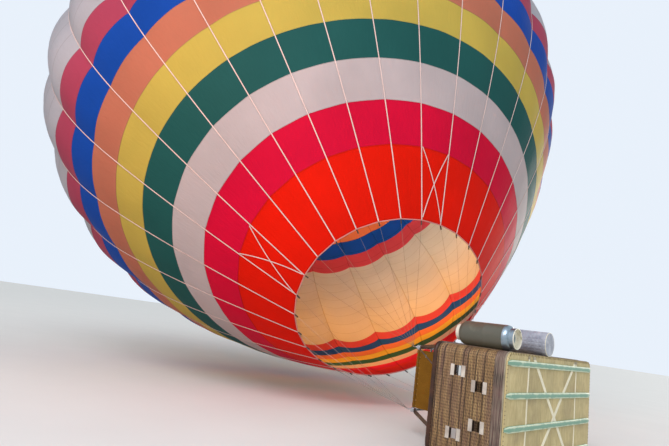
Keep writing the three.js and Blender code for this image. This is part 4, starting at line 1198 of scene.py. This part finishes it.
def partition_part(start, end, out):
    """A woven slab between two floor points, its weave the same on both faces."""
    start, end, out = (np.asarray(v, float) for v in (start, end, out))
    length = np.linalg.norm(end - start)
    s = np.append(np.arange(0, length - 0.01, STAKE_PITCH / 2), length)
    z = weave_rows(0, PARTITION_HEIGHT, ROW_PITCH)
    zz = np.concatenate((z, z[::-1]))
    side = np.where(np.arange(len(zz)) < len(z), 1, -1)[None]
    ss, heights = np.meshgrid(s, zz, indexing="ij")
    offset = side * (PARTITION / 2 - WEAVE_DEPTH - STAKE_RISE + weave(ss, heights + ROW_PITCH / 4))
    flat = start + (end - start) * (ss / length)[..., None] + out * offset[..., None]
    points = basket(np.concatenate((flat, FLOOR_BOARD + SEAM_GAP + heights[..., None]), -1))
    uv = np.stack(np.meshgrid(s, np.append(zz, zz[0]), indexing="ij"), -1)
    return {**grid_part(points, uv, False, True), "marks": {"groove": groove(heights)}}


inside_y = BASKET_WIDTH / 2 - WALL - SEAM_GAP
inside_x = BASKET_LENGTH / 2 - WALL - SEAM_GAP
for side, end in ((1, "near"), (-1, "far")):
    across_x = side * PILOT_HALF
    along_x = side * (PILOT_HALF + PARTITION / 2 + SEAM_GAP)
    for way, start, stop, out in (("across", (across_x, -inside_y), (across_x, inside_y), (1, 0)),
                                  ("along", (along_x, 0), (side * inside_x, 0), (0, 1))):
        slab = partition_part(start, stop, out)
        partition = make_piece(f"partition_{way}_{end}_weave", [slab], [willow], sharp=80)
        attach(partition, "root")
        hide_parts(f"partition_{way}_{end}")

# Padded rods: nylon rods from the rim to the corners of the burner frame, which hold it up over the crew.
# Each is in a padded leather sleeve, laced down its outer side.
ROD_RADIUS = 0.032
ROD_FOOT = 1.100
ROD_ROWS = 34
ROD_PUFFS = 7
ROD_STITCHES = 18
sleeve_hide = leather("brown_sleeve_leather", "#5f452f", "#33231a", 0.5)
sleeve_lacing = []
rim_top = BASKET_HEIGHT + SEAM_GAP + RIM_RADIUS
for name, sx, sy in (("near_top", 1, 1), ("near_low", 1, -1), ("far_top", -1, 1), ("far_low", -1, -1)):
    foot = np.array((sx * ROD_FOOT, sy * (BASKET_WIDTH - WALL) / 2, BASKET_HEIGHT))
    head = np.array((sx * FRAME_LENGTH / 2, sy * FRAME_WIDTH / 2 + FRAME_RISE, FRAME_HEIGHT))
    span = head[2] - foot[2]
    low = (rim_top - foot[2]) / span + 0.01
    high = 1 - FRAME_KNUCKLE / 2 / span - 0.01
    share = np.linspace(low, high, ROD_ROWS)
    puff = 0.93 + 0.09 * np.abs(np.sin(np.linspace(0, ROD_PUFFS * np.pi, ROD_ROWS))) ** 0.6
    puff[0] = puff[-1] = 0.70
    rod_path = basket(foot + (head - foot) * share[:, None])
    sleeve = sweep(rod_path, ring(ROD_RADIUS, 16)[None] * puff[:, None, None], basket_long)
    rod = make_piece(f"padded_rod_{name}_sleeve", [sleeve], [sleeve_hide])
    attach(rod, "root")
    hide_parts(f"padded_rod_{name}")
    way = unit(rod_path[-1] - rod_path[0])
    outward = unit(np.cross(way, basket_long) * sy)
    for share in np.linspace(0.08, 0.92, ROD_STITCHES):
        place = rod_path[0] + (rod_path[-1] - rod_path[0]) * share + outward * ROD_RADIUS * 0.93
        sleeve_lacing.append(stitch(place, np.cross(way, outward), outward, 0.022, 0.005, 0.0025))
rod_lacing = make_piece("rod_sleeve_lacing", sleeve_lacing, [thong])
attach(rod_lacing, "root")

# Burner frame: stainless tube welded into a rectangle with corner sockets, and two cross tubes that carry the
# gimbal's pins. Two capped screws hold the nylon rod in each socket.
GIMBAL_LENGTH = 0.900
GIMBAL_WIDTH = 0.560
GIMBAL_TUBE = 0.013
GIMBAL_KNUCKLE = 0.050
PIN_RADIUS = 0.009
PIVOT_GAP = 0.005
CLEARANCE = 0.002
BEVEL = 0.006
SQUARENESS = 0.22
SCREW_LEVELS = (-0.024, 0.024)
SCREW_HEAD = ((0.006, -0.002), (0.007, 0.002), (0.006, 0.005))
cross_x = GIMBAL_LENGTH / 2 + GIMBAL_KNUCKLE / 2 + PIVOT_GAP + FRAME_TUBE + CLEARANCE


def rod_part(start, end, radius, sides=16):
    """A straight round bar in the frame's sizes, with its two ends chamfered."""
    start, end = np.asarray(start, float), np.asarray(end, float)
    length = np.linalg.norm(end - start)
    edge = min(0.25 * radius, length / 6)
    shares = np.array((0, edge, 3 * edge, length - 3 * edge, length - edge, length)) / length
    scale = np.array((0.8, 1, 1, 1, 1, 0.8))
    path = overhead(start + (end - start) * shares[:, None])
    across = basket_side if abs((end - start)[1]) < 0.9 * length else basket_long
    return sweep(path, ring(radius, sides)[None] * scale[:, None, None], across)


def block_part(size, centre, material=0):
    """A box with its edges rounded off, in the frame's sizes: a superellipse, which is a circle's cosine and
    sine raised to the power SQUARENESS, carried up in six rows that draw in by BEVEL at both ends."""
    half = np.asarray(size, float) / 2
    turn = np.linspace(0, 2 * np.pi, 24, endpoint=False)
    circle = np.stack((np.cos(turn), np.sin(turn)), -1)
    square = np.sign(circle) * np.abs(circle) ** SQUARENESS
    rise = BEVEL * np.array((0, 0.3, 1))
    heights = np.concatenate((rise - half[2], half[2] - rise[::-1]))
    inset = np.concatenate((rise[::-1], rise))
    flat = square[None] * (half[:2] - inset[:, None])[:, None]
    points = np.concatenate((flat, np.broadcast_to(heights[:, None, None], (6, 24, 1))), -1)
    return {**grid_part(overhead(points + np.asarray(centre)), None, False, True), "material": material}


def turned(profile, place, way, sides, material=0):
    """A turned part at a place in the model's frame, its axis along one of the basket's three directions."""
    across = basket_long if abs(way @ basket_up) > 0.5 else basket_up
    return {**lathe(profile, place, way, sides, across), "material": material}


def rectangle(length, width):
    """The four corners of a rectangle about the pivot, in turn, in the frame's sizes."""
    return [(sx * length / 2, sy * width / 2, 0) for sx, sy in ((1, 1), (-1, 1), (-1, -1), (1, -1))]


def tube_round(corners, radius, sides):
    """Straight tubes from each corner to the next."""
    return [rod_part(a, b, radius, sides) for a, b in zip(corners, corners[1:] + corners[:1])]


frame_corners = rectangle(FRAME_LENGTH, FRAME_WIDTH)
frame_parts = tube_round(frame_corners, FRAME_TUBE, 20)
for corner in frame_corners:
    frame_parts.append(block_part((FRAME_KNUCKLE,) * 3, corner))
    way = np.sign(corner[1])
    for level in SCREW_LEVELS:
        screw = np.array(corner) + (0, way * FRAME_KNUCKLE / 2, level)
        frame_parts.append(turned(SCREW_HEAD, overhead(screw), basket_side * way, 6))
for side in (1, -1):
    foot, middle = (side * cross_x, -FRAME_WIDTH / 2, 0), (side * cross_x, 0, 0)
    frame_parts.append(rod_part(foot, (side * cross_x, FRAME_WIDTH / 2, 0), FRAME_TUBE, 20))
    frame_parts.append(rod_part(middle, (side * (GIMBAL_LENGTH - GIMBAL_KNUCKLE) / 2, 0, 0), PIN_RADIUS))
burner_frame = make_piece("burner_frame_tubes", frame_parts, [stainless])
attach(burner_frame, "root")
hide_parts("burner_frame")

# Frame aprons: brown canvas laced under the frame's two end tubes, to keep wind and heat off the crew. Each
# is a hemmed rectangle with brass eyelets, and its lacing goes round the tube's padded canvas sleeve.
APRON_WIDTH = 0.990
APRON_DEPTH = 0.290
APRON_TOP = -FRAME_TUBE - SEAM_GAP
APRON_SEAT = 0.004
CANVAS_HALF = 0.0012
HEM_HALF = 0.0010
HEM_START = (0.94, 0.86)
SLEEVED_TUBE = 0.025
SLEEVE_PUFFS = 10
LACE_LOOP = 0.030
LACE_RADIUS = 0.003
LACE_DROP = 0.008
LACE_REACH = 0.465
LACES = 11
EYELET_RADIUS = 0.009
EYELET_WIRE = 0.0035
brass = metal("machined_brass", "#c9a55a", 0.25)
brown_canvas = woven("brown_cotton_canvas", "#875d1a", "#68460f", 1.5, 0.0, 0.1)


def apron_part(x):
    """A sheet of canvas that hangs at x along the frame: two faces that share slow ripples, as sines of the
    place across and down, and lie further apart in the hem along the four edges."""
    across, down = np.meshgrid(np.linspace(-0.5, 0.5, 41), np.linspace(0, 1, 15))
    slack = (0.0035 * np.sin(across * 31) * np.sin(down * np.pi)
             + 0.0015 * np.sin(across * 12 + down * 7))
    side_hem = np.maximum(np.abs(across) * 2 - HEM_START[0], 0) / (1 - HEM_START[0])
    end_hem = np.maximum(np.abs(down * 2 - 1) - HEM_START[1], 0) / (1 - HEM_START[1])
    half = CANVAS_HALF + HEM_HALF * np.minimum(np.maximum(side_hem, end_hem) * 4, 1)
    y = across * APRON_WIDTH
    z = APRON_TOP - APRON_SEAT - down * (APRON_DEPTH - APRON_SEAT)
    faces = [np.stack((x + slack + way * half, y, z), -1) for way in (1, -1)]
    rows = np.concatenate((faces[0], faces[1][:, ::-1]), 1)
    uv = np.stack(np.meshgrid(np.linspace(0, 2 * APRON_WIDTH, 83), np.linspace(0, APRON_DEPTH, 15)), -1)
    return grid_part(overhead(rows), uv, False, True)


for side, end in ((1, "near"), (-1, "far")):
    end_x = side * FRAME_LENGTH / 2
    apron = make_piece(f"frame_apron_{end}_canvas", [apron_part(end_x)], [brown_canvas])
    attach(apron, "root")
    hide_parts(f"frame_apron_{end}")
    turn = np.linspace(0, 2 * np.pi, 16, endpoint=False)
    c, s = np.cos(turn), np.sin(turn)
    loops = []
    for y in np.linspace(-LACE_REACH, LACE_REACH, LACES) * APRON_WIDTH:
        loop = np.stack((end_x + LACE_LOOP * c, y + 0.006 * s, LACE_LOOP * s - LACE_DROP), -1)
        loops.append(sweep(overhead(loop), ring(LACE_RADIUS, 6), basket_side, close=True))
        eyelet = np.stack((np.full(16, end_x + 0.002 * side), y + EYELET_RADIUS * c,
                           EYELET_RADIUS * s - LACE_LOOP - LACE_DROP), -1)
        rim_wire = sweep(overhead(eyelet), ring(EYELET_WIRE, 6), basket_long, close=True)
        loops.append({**rim_wire, "material": 1})
    lashing = make_piece(f"frame_apron_{end}_lashing", loops, [thong, brass])
    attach(lashing, "root")
    reach = np.linspace(-0.5, 0.5, 41)
    sleeve_path = overhead(np.stack((np.full(41, end_x), reach * APRON_WIDTH, np.zeros(41)), -1))
    puff = 1 - 0.05 * np.cos(reach * SLEEVE_PUFFS * 2 * np.pi)
    puff[[0, -1]] = 0.93
    sleeve_section = ring(SLEEVED_TUBE, 16)[None] * puff[:, None, None]
    sleeve = make_piece(f"frame_end_{end}_sleeve", [sweep(sleeve_path, sleeve_section, basket_long)],
                        [brown_canvas])
    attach(sleeve, "root")

# Corner straps: dark webbing that steadies the frame's two upper corners from the rim's short sides, each
# with a buckle of bent steel wire halfway.
CORNER_STRAP_HALF = 0.012
CORNER_STRAP_THICKNESS = 0.003
BUCKLE_HALF = (0.022, 0.018)
BUCKLE_WIRE = 0.0035
dark_webbing = woven("dark_brown_webbing", "#4a3527", "#33241b", 2.0, 0.1, 0.3)
strap_parts = []
for side in (1, -1):
    head = basket((side * (FRAME_LENGTH / 2 + 0.030), FRAME_WIDTH / 2 + FRAME_RISE - 0.025,
                   FRAME_HEIGHT - 0.030))
    foot = basket((side * (BASKET_LENGTH / 2 - 0.030), 0.450, BASKET_HEIGHT + RIM_RADIUS * 0.6))
    way = unit(foot - head)
    face = unit(np.cross(way, basket_side))
    strap_parts.append(strip(np.linspace(head, foot, 12), face, CORNER_STRAP_HALF, CORNER_STRAP_THICKNESS))
    place = (head + foot) / 2 + face * 0.002
    buckle = [place + way * a * BUCKLE_HALF[0] + np.cross(way, face) * b * BUCKLE_HALF[1]
              for a, b in ((-1, -1), (-1, 1), (1, 1), (1, -1))]
    strap_parts.append({**sweep(buckle, ring(BUCKLE_WIRE, 8), face, close=True), "material": 1})
corner_straps = make_piece("frame_corner_straps", strap_parts, [dark_webbing, stainless])
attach(corner_straps, "root")

# Gimbal ring: a lighter rectangle of tube between the frame's pins and the burners' own pins, with a turned
# bush in the middle of each side.
BUSH_BORE = 0.0097
BUSH_RADIUS = 0.024
bush_end = GIMBAL_KNUCKLE / 2
bush = [(BUSH_BORE, -bush_end), (BUSH_RADIUS - 0.002, -bush_end), (BUSH_RADIUS, 0.003 - bush_end),
        (BUSH_RADIUS, bush_end - 0.003), (BUSH_RADIUS - 0.002, bush_end), (BUSH_BORE, bush_end),
        (BUSH_BORE, 0.0001 - bush_end)]
gimbal_parts = tube_round(rectangle(GIMBAL_LENGTH, GIMBAL_WIDTH), GIMBAL_TUBE, 16)
for x, y in ((1, 0), (-1, 0), (0, 1), (0, -1)):
    middle = overhead((x * GIMBAL_LENGTH / 2, y * GIMBAL_WIDTH / 2, 0))
    gimbal_parts.append(turned(bush, middle, basket_long if x else basket_side, 20))
gimbal = make_piece("gimbal_ring_tubes", gimbal_parts, [stainless])
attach(gimbal, "gimbal")
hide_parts("gimbal_ring")

# Burners: two side by side on one carrier, each a steel can wound with seven turns of vaporising tube, over a
# ring of jets. The brass valve block underneath has the blast lever with its black grip on one side, and the
# red pilot knob and the pressure gauge on the other. Two pipes join it to the ends of the coil.
BURNER_PITCH = 0.330
BURNER_RADIUS = 0.135
CAN_INSET = 0.022
CAN_HEIGHT = 0.360
CAN_FOOT = 0.030
CAN_DROP = 0.080
COIL_TUBE = 0.009
COILS = 7
JET_RING = 0.075
JET_RING_TUBE = 0.007
JET = ((0.005, 0), (0.005, 0.012), (0.003, 0.016))
VALVE_BLOCK = (0.085, 0.075, 0.055)
VALVE_SIDE = 0.038
PIPE_BEND = 0.030
DROP_TUBE = 0.006
DROP_HEAD = np.array(((-0.010, 0.010, 0), (-0.002, 0.020, -0.002), (0, 0.030, -0.012), (0, 0.034, -0.040)))
DROP_FOOT = np.array(((0, 0.034, 0.030), (-0.012, 0.034, 0), (-0.040, 0.030, -0.012)))
LEVER = ((-0.030, -0.046), (-0.070, -0.056), (-0.105, -0.078), (-0.150, -0.088))
LEVER_SECTION = ((-0.010, -0.002), (0.010, -0.002), (0.010, 0.002), (-0.010, 0.002))
GRIP_RADIUS = 0.011
GRIP_GIRTH = np.array((0.8, 1, 1, 1, 0.95, 0.6))
KNOB = ((0.004, 0), (0.004, 0.014), (0.012, 0.016), (0.014, 0.020), (0.014, 0.030), (0.010, 0.034))
GAUGE = ((0.005, 0), (0.005, 0.012), (0.020, 0.014), (0.022, 0.018), (0.022, 0.028), (0.018, 0.030),
         (0.017, 0.028))
CONTROL_PLACE = (0.022, 0.036, -0.006)
NUT = ((0.016, -0.014), (0.018, -0.012), (0.018, 0.010), (0.016, 0.014))
NUT_DROP = 0.046
burner_steel = metal("heat_tinted_steel", "#9a9489", 0.34, 0.1, "#6b5442")
red_knob = rubber("red_pilot_knob", "#8a1d18", 0.5)
can_base = -CAN_DROP
coil_foot = can_base + CAN_FOOT + COIL_TUBE
coil_head = can_base + CAN_FOOT + CAN_HEIGHT - COIL_TUBE
coil_radius = BURNER_RADIUS - COIL_TUBE


def burner_body(x):
    """Can, coil and jets of the burner at x along the frame. The can is turned, up its outside and down its
    inside, and the coil is a helix, whose height grows in step with its angle."""
    inner = BURNER_RADIUS - CAN_INSET
    can = [(0.05, 0.002), (0.085, 0.004), (inner - 0.002, CAN_FOOT), (inner, CAN_FOOT + 0.01),
           (inner, CAN_FOOT + CAN_HEIGHT), (inner - 0.002, CAN_FOOT + CAN_HEIGHT),
           (inner - 0.003, 0.052), (0.03, 0.050)]
    turn = np.linspace(0, COILS * 2 * np.pi, COILS * 24 + 1)
    coil = np.stack((x + coil_radius * np.cos(turn), coil_radius * np.sin(turn),
                     coil_foot + turn / turn[-1] * (CAN_HEIGHT - 2 * COIL_TUBE)), -1)
    turn = np.linspace(0, 2 * np.pi, 32, endpoint=False)
    jet_ring = np.stack((x + JET_RING * np.cos(turn), JET_RING * np.sin(turn),
                         np.full(32, can_base + 0.085)), -1)
    parts = [turned(can, overhead((x, 0, can_base)), basket_up, 32)]
    parts.append(sweep(overhead(coil), ring(COIL_TUBE, 8), basket_up))
    parts.append({**sweep(overhead(jet_ring), ring(JET_RING_TUBE, 8), basket_up, close=True), "material": 1})
    for place in jet_ring[::4]:
        parts.append(turned(JET, overhead(place + (0, 0, 0.003)), basket_up, 8, 1))
    return parts


def burner_valve(x):
    """Valve block of the burner at x along the frame, with its pipes and controls."""
    parts = [block_part(VALVE_BLOCK, (x, 0, can_base - 0.005), 1)]
    bend = np.linspace(0, np.pi / 2, 8)
    elbow = np.stack((x + coil_radius - PIPE_BEND + PIPE_BEND * np.sin(bend), np.zeros(8),
                      can_base - 0.002 + PIPE_BEND * (1 - np.cos(bend))), -1)
    foot_pipe = np.concatenate(([(x + VALVE_SIDE, 0, can_base - 0.002)], elbow,
                                [(x + coil_radius, 0, coil_foot)]))
    parts.append(sweep(overhead(foot_pipe), ring(COIL_TUBE * 0.9, 10), basket_side))
    drop_x = x + BURNER_RADIUS + COIL_TUBE * 0.4
    drop_pipe = np.concatenate((DROP_HEAD + (drop_x, 0, coil_head), DROP_FOOT + (drop_x, 0, can_base),
                                [(x + VALVE_SIDE, 0.026, can_base - 0.014)]))
    parts.append(sweep(overhead(drop_pipe), ring(DROP_TUBE, 10), basket_side))
    lever = np.array([(x, y, can_base + z) for y, z in LEVER])
    parts.append(sweep(overhead(lever), LEVER_SECTION, basket_up))
    grip = overhead(lever[2] + (lever[3] - lever[2]) * np.linspace(0, 1.1, 6)[:, None])
    grip_section = ring(GRIP_RADIUS, 10)[None] * GRIP_GIRTH[:, None, None]
    parts.append({**sweep(grip, grip_section, basket_up), "material": 2})
    for profile, side, sides, material in ((KNOB, -1, 12, 3), (GAUGE, 1, 20, 1)):
        place = (x + side * CONTROL_PLACE[0], CONTROL_PLACE[1], can_base + CONTROL_PLACE[2])
        parts.append(turned(profile, overhead(place), basket_side, sides, material))
    parts.append(turned(NUT, overhead((x, 0, can_base - NUT_DROP)), basket_up, 6, 1))
    return parts


burner_parts = []
for x in (-BURNER_PITCH / 2, BURNER_PITCH / 2):
    burner_parts += burner_body(x) + burner_valve(x)
burner_parts.append(block_part((BURNER_PITCH + 0.160, 0.090, 0.060), (0, 0, -0.090)))
burner_parts.append(block_part((0.030, 0.060, 0.120), (0, 0, -0.050)))
pin_end = (GIMBAL_WIDTH + GIMBAL_KNUCKLE) / 2
burner_parts.append(rod_part((0, -pin_end, 0), (0, pin_end, 0), PIN_RADIUS))
burners = make_piece("burner_pair_coils", burner_parts, [burner_steel, brass, black_sleeve, red_knob])
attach(burners, "burners")
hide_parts("burner_pair")

# Fuel cylinders: two aluminium tanks that lie on the upper side, their feet by the basket's floor. They are
# in dull olive enamel down to a bare spun foot end, and an open collar at the head shelters a brass valve
# and gauge. The second one wears a pale quilted jacket.
TANK_RADIUS = 0.186
TANK_LENGTH = 0.940
TANK_SET_BACK = 0.010
TANK_FLAT = 0.120
DOME_DEPTH = 0.165
DOME_RISES = (0.095, 0.105)
FOOT_RING = 0.140
COLLAR = 0.110
BARE_END = 0.170
TANK_PLACES = (1.500, 0.300)
# Profiles in rows of (radius, height). Radii count from TANK_RADIUS in the weld, from FOOT_RING in the skirt
# and its bead, and from COLLAR in the collar. Heights count from the tank's middle in the weld, from its foot
# in the skirt and the bead, and from its head in the rest.
WELD = np.array(((0.0002, -0.006), (0.0008, -0.003), (0.0008, 0.003), (0.0002, 0.006)))
SKIRT = np.array(((0.003, 0.070), (0.003, 0.012), (0.009, 0.012), (0.010, 0.080), (0.002, 0.080)))
FOOT_BEAD = np.array(((-0.001, 0.068), (-0.001, 0.012), (-0.003, 0.006), (0.002, 0), (0.009, 0.002),
                      (0.011, 0.009), (0.008, 0.014), (0.001, 0.014), (0.001, 0.069)))
COLLAR_RIM = np.array(((0.010, -0.072), (0.010, -0.004), (0.013, -0.001), (0.005, 0), (0, -0.003),
                       (0, -0.062)))
HAND_VALVE = np.array(((0.004, -0.060), (0.020, -0.060), (0.020, -0.048), (0.012, -0.044),
                       (0.012, -0.022), (0.026, -0.020), (0.026, -0.010), (0.004, -0.008)))
DIAL = np.array(((0.004, -0.060), (0.024, -0.060), (0.028, -0.050), (0.028, -0.036), (0.022, -0.032),
                 (0.004, -0.032)))
VALVE_OFFSET = 0.035
DIAL_OFFSET = -0.045


def paint(name, colour, chipped, roughness, scale):
    """Enamel over metal: a smooth film that drifts in tone and is scuffed in patches to a second one."""
    material, tree = new_material(name)
    spot = add(tree, "TexCoord").outputs["Object"]
    cloud = add(tree, "TexNoise", {"Vector": spot, "Scale": scale, "Detail": 8, "Roughness": 0.6})
    worn = add(tree, "MapRange", {"Value": cloud, "From Min": 0.56, "From Max": 0.66})
    soft = add(tree, "TexNoise", {"Vector": spot, "Scale": scale / 4, "Detail": 3})
    tone = add(tree, "MapRange", {"Value": soft, "From Min": 0.3, "From Max": 0.7,
                                  "To Min": 0.88, "To Max": 1.1})
    film = add(tree, "Mix", {"Factor": 1.0, "A": linear(colour), "B": tone},
               data_type="RGBA", blend_type="MULTIPLY")
    base = add(tree, "Mix", {"Factor": worn, "A": film, "B": linear(chipped)}, data_type="RGBA")
    bump = add(tree, "Bump", {"Height": cloud, "Strength": 0.12, "Distance": 0.002})
    cover = add(tree, "BsdfPrincipled", {"Base Color": base, "Roughness": roughness, "Normal": bump})
    add(tree, "OutputMaterial", {"Surface": cover})
    return material


tank_paint = paint("olive_tank_enamel", "#535144", "#676453", 0.3, 3.0)
spun_aluminium = metal("spun_aluminium", "#93a3ad", 0.34, 0.1, "#6f7d86")
ring_paint = paint("chalky_ring_enamel", "#d9d4c0", "#a79f87", 0.45, 12.0)
tank_y = BASKET_WIDTH / 2 + BAND_THICKNESS + 3 * SEAM_GAP + TANK_RADIUS
tank_foot, tank_head = -TANK_LENGTH / 2, TANK_LENGTH / 2
bare_top = tank_foot + BARE_END


def tank_parts(centre):
    """One cylinder about its middle: the enamelled shell and the bare end, with domes as quarter ellipses,
    then skirt, foot bead, collar, valve and gauge."""
    dome = np.linspace(0, np.pi / 2, 10)
    rise, fall = np.sin(dome), np.cos(dome)
    round_off = TANK_RADIUS - TANK_FLAT
    bottom = np.stack((TANK_FLAT + round_off * rise, tank_foot + DOME_DEPTH - DOME_RISES[0] * fall), -1)
    top = np.stack((TANK_FLAT + round_off * fall, tank_head - DOME_DEPTH + DOME_RISES[1] * rise), -1)
    painted = [(0.02, bare_top + 0.001), (TANK_RADIUS, bare_top + 0.001), *(WELD + (TANK_RADIUS, 0)),
               *top, (0.02, tank_head - 0.058)]
    bare = [(0.02, tank_foot + 0.066), *bottom, (TANK_RADIUS, bare_top), (0.02, bare_top)]
    return [
        turned(painted, centre, basket_up, 48),
        turned(bare, centre, basket_up, 48, 1),
        turned(SKIRT + (FOOT_RING, tank_foot), centre, basket_up, 48, 1),
        turned(FOOT_BEAD + (FOOT_RING, tank_foot), centre, basket_up, 48, 2),
        turned(COLLAR_RIM + (COLLAR, tank_head), centre, basket_up, 48, 2),
        turned(HAND_VALVE + (0, tank_head), centre + basket_long * VALVE_OFFSET, basket_up, 16, 3),
        turned(DIAL + (0, tank_head), centre + basket_long * DIAL_OFFSET, basket_up, 20, 3),
    ]


for i, x in enumerate(TANK_PLACES):
    centre = basket((x, tank_y, TANK_LENGTH / 2 - TANK_SET_BACK))
    cylinder = make_piece(f"fuel_cylinder_{i + 1}_tank", tank_parts(centre),
                          [tank_paint, spun_aluminium, ring_paint, brass])
    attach(cylinder, "root")
    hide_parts(f"fuel_cylinder_{i + 1}")

# Jacket of the second cylinder: pale nylon over wadding, quilted in squares and closed over the foot with a
# piped edge. Its other end rolls in over the tank's shoulder.
JACKET = 0.0045
JACKET_SHORT = 0.150
FOOT_ROUND = 0.018
HEM_ROLL = (0.030, 0.036)
QUILT_SQUARE = 0.060
PIPING = 0.0045


def quilt():
    """Quilted nylon: the bump is the square root of the lower of two sine waves without their signs, one each
    way over the cloth, so each square puffs up between the stitch lines that pull it in."""
    material, tree = new_material("quilted_nylon_jacket")
    place = add(tree, "UVMap", uv_map="surface")
    pitch = np.pi / QUILT_SQUARE
    squares = add(tree, "Mapping", {"Vector": place, "Scale": (pitch, pitch, 1.0)})
    axis = add(tree, "SeparateXYZ", {"Vector": squares})
    waves = []
    for way in ("X", "Y"):
        wave = add(tree, "Math", {0: axis.outputs[way]}, operation="SINE")
        waves.append(add(tree, "Math", {0: wave}, operation="ABSOLUTE"))
    puff = add(tree, "Math", {0: waves[0], 1: waves[1]}, operation="MINIMUM")
    puff = add(tree, "Math", {0: puff, 1: 0.5}, operation="POWER")
    spot = add(tree, "TexCoord").outputs["Object"]
    cloud = add(tree, "TexNoise", {"Vector": spot, "Scale": 9.0, "Detail": 6})
    tone = add(tree, "MapRange", {"Value": cloud, "From Min": 0.35, "From Max": 0.65})
    base = add(tree, "Mix", {"Factor": tone, "A": linear("#888c97"),
                             "B": linear("#a9adb5")}, data_type="RGBA")
    bump = add(tree, "Bump", {"Height": puff, "Strength": 0.8, "Distance": 0.008})
    cover = add(tree, "BsdfPrincipled", {"Base Color": base, "Roughness": 0.6, "Normal": bump,
                                         "Sheen Weight": 0.2})
    add(tree, "OutputMaterial", {"Surface": cover})
    return material


outside = TANK_RADIUS + JACKET
jacket_top = tank_head - JACKET_SHORT
edge = np.linspace(0, np.pi / 2, 8)
rise, fall = np.sin(edge), 1 - np.cos(edge)
jacket_profile = [
    (0.02, tank_foot - 0.001),
    (outside - 0.060, tank_foot - 0.004),
    *np.stack((outside - FOOT_ROUND * (1 - rise), tank_foot - 0.004 + FOOT_ROUND * fall), -1),
    *np.stack((outside - HEM_ROLL[0] * fall, jacket_top + HEM_ROLL[1] * rise), -1),
    (outside - 0.036, jacket_top + 0.028),
    (TANK_RADIUS + 0.001, jacket_top - 0.030),
    (TANK_RADIUS + 0.001, tank_foot + DOME_DEPTH),
    (FOOT_RING + 0.013, tank_foot + 0.085),
    (FOOT_RING + 0.013, tank_foot + 0.001),
    (0.02, tank_foot + 0.0005),
]
turn = np.linspace(0, 2 * np.pi, 64, endpoint=False)[:, None]
piping_path = (centre + basket_up * (tank_foot + 0.002)
               + (outside - 0.006) * (np.cos(turn) * basket_long + np.sin(turn) * basket_side))
jacket = make_piece("fuel_cylinder_2_jacket", [
    turned(jacket_profile, centre, basket_up, 64),
    {**sweep(piping_path, ring(PIPING, 8), basket_up, close=True), "material": 1}], [quilt(), floor_webbing])
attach(jacket, "root")

low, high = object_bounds()
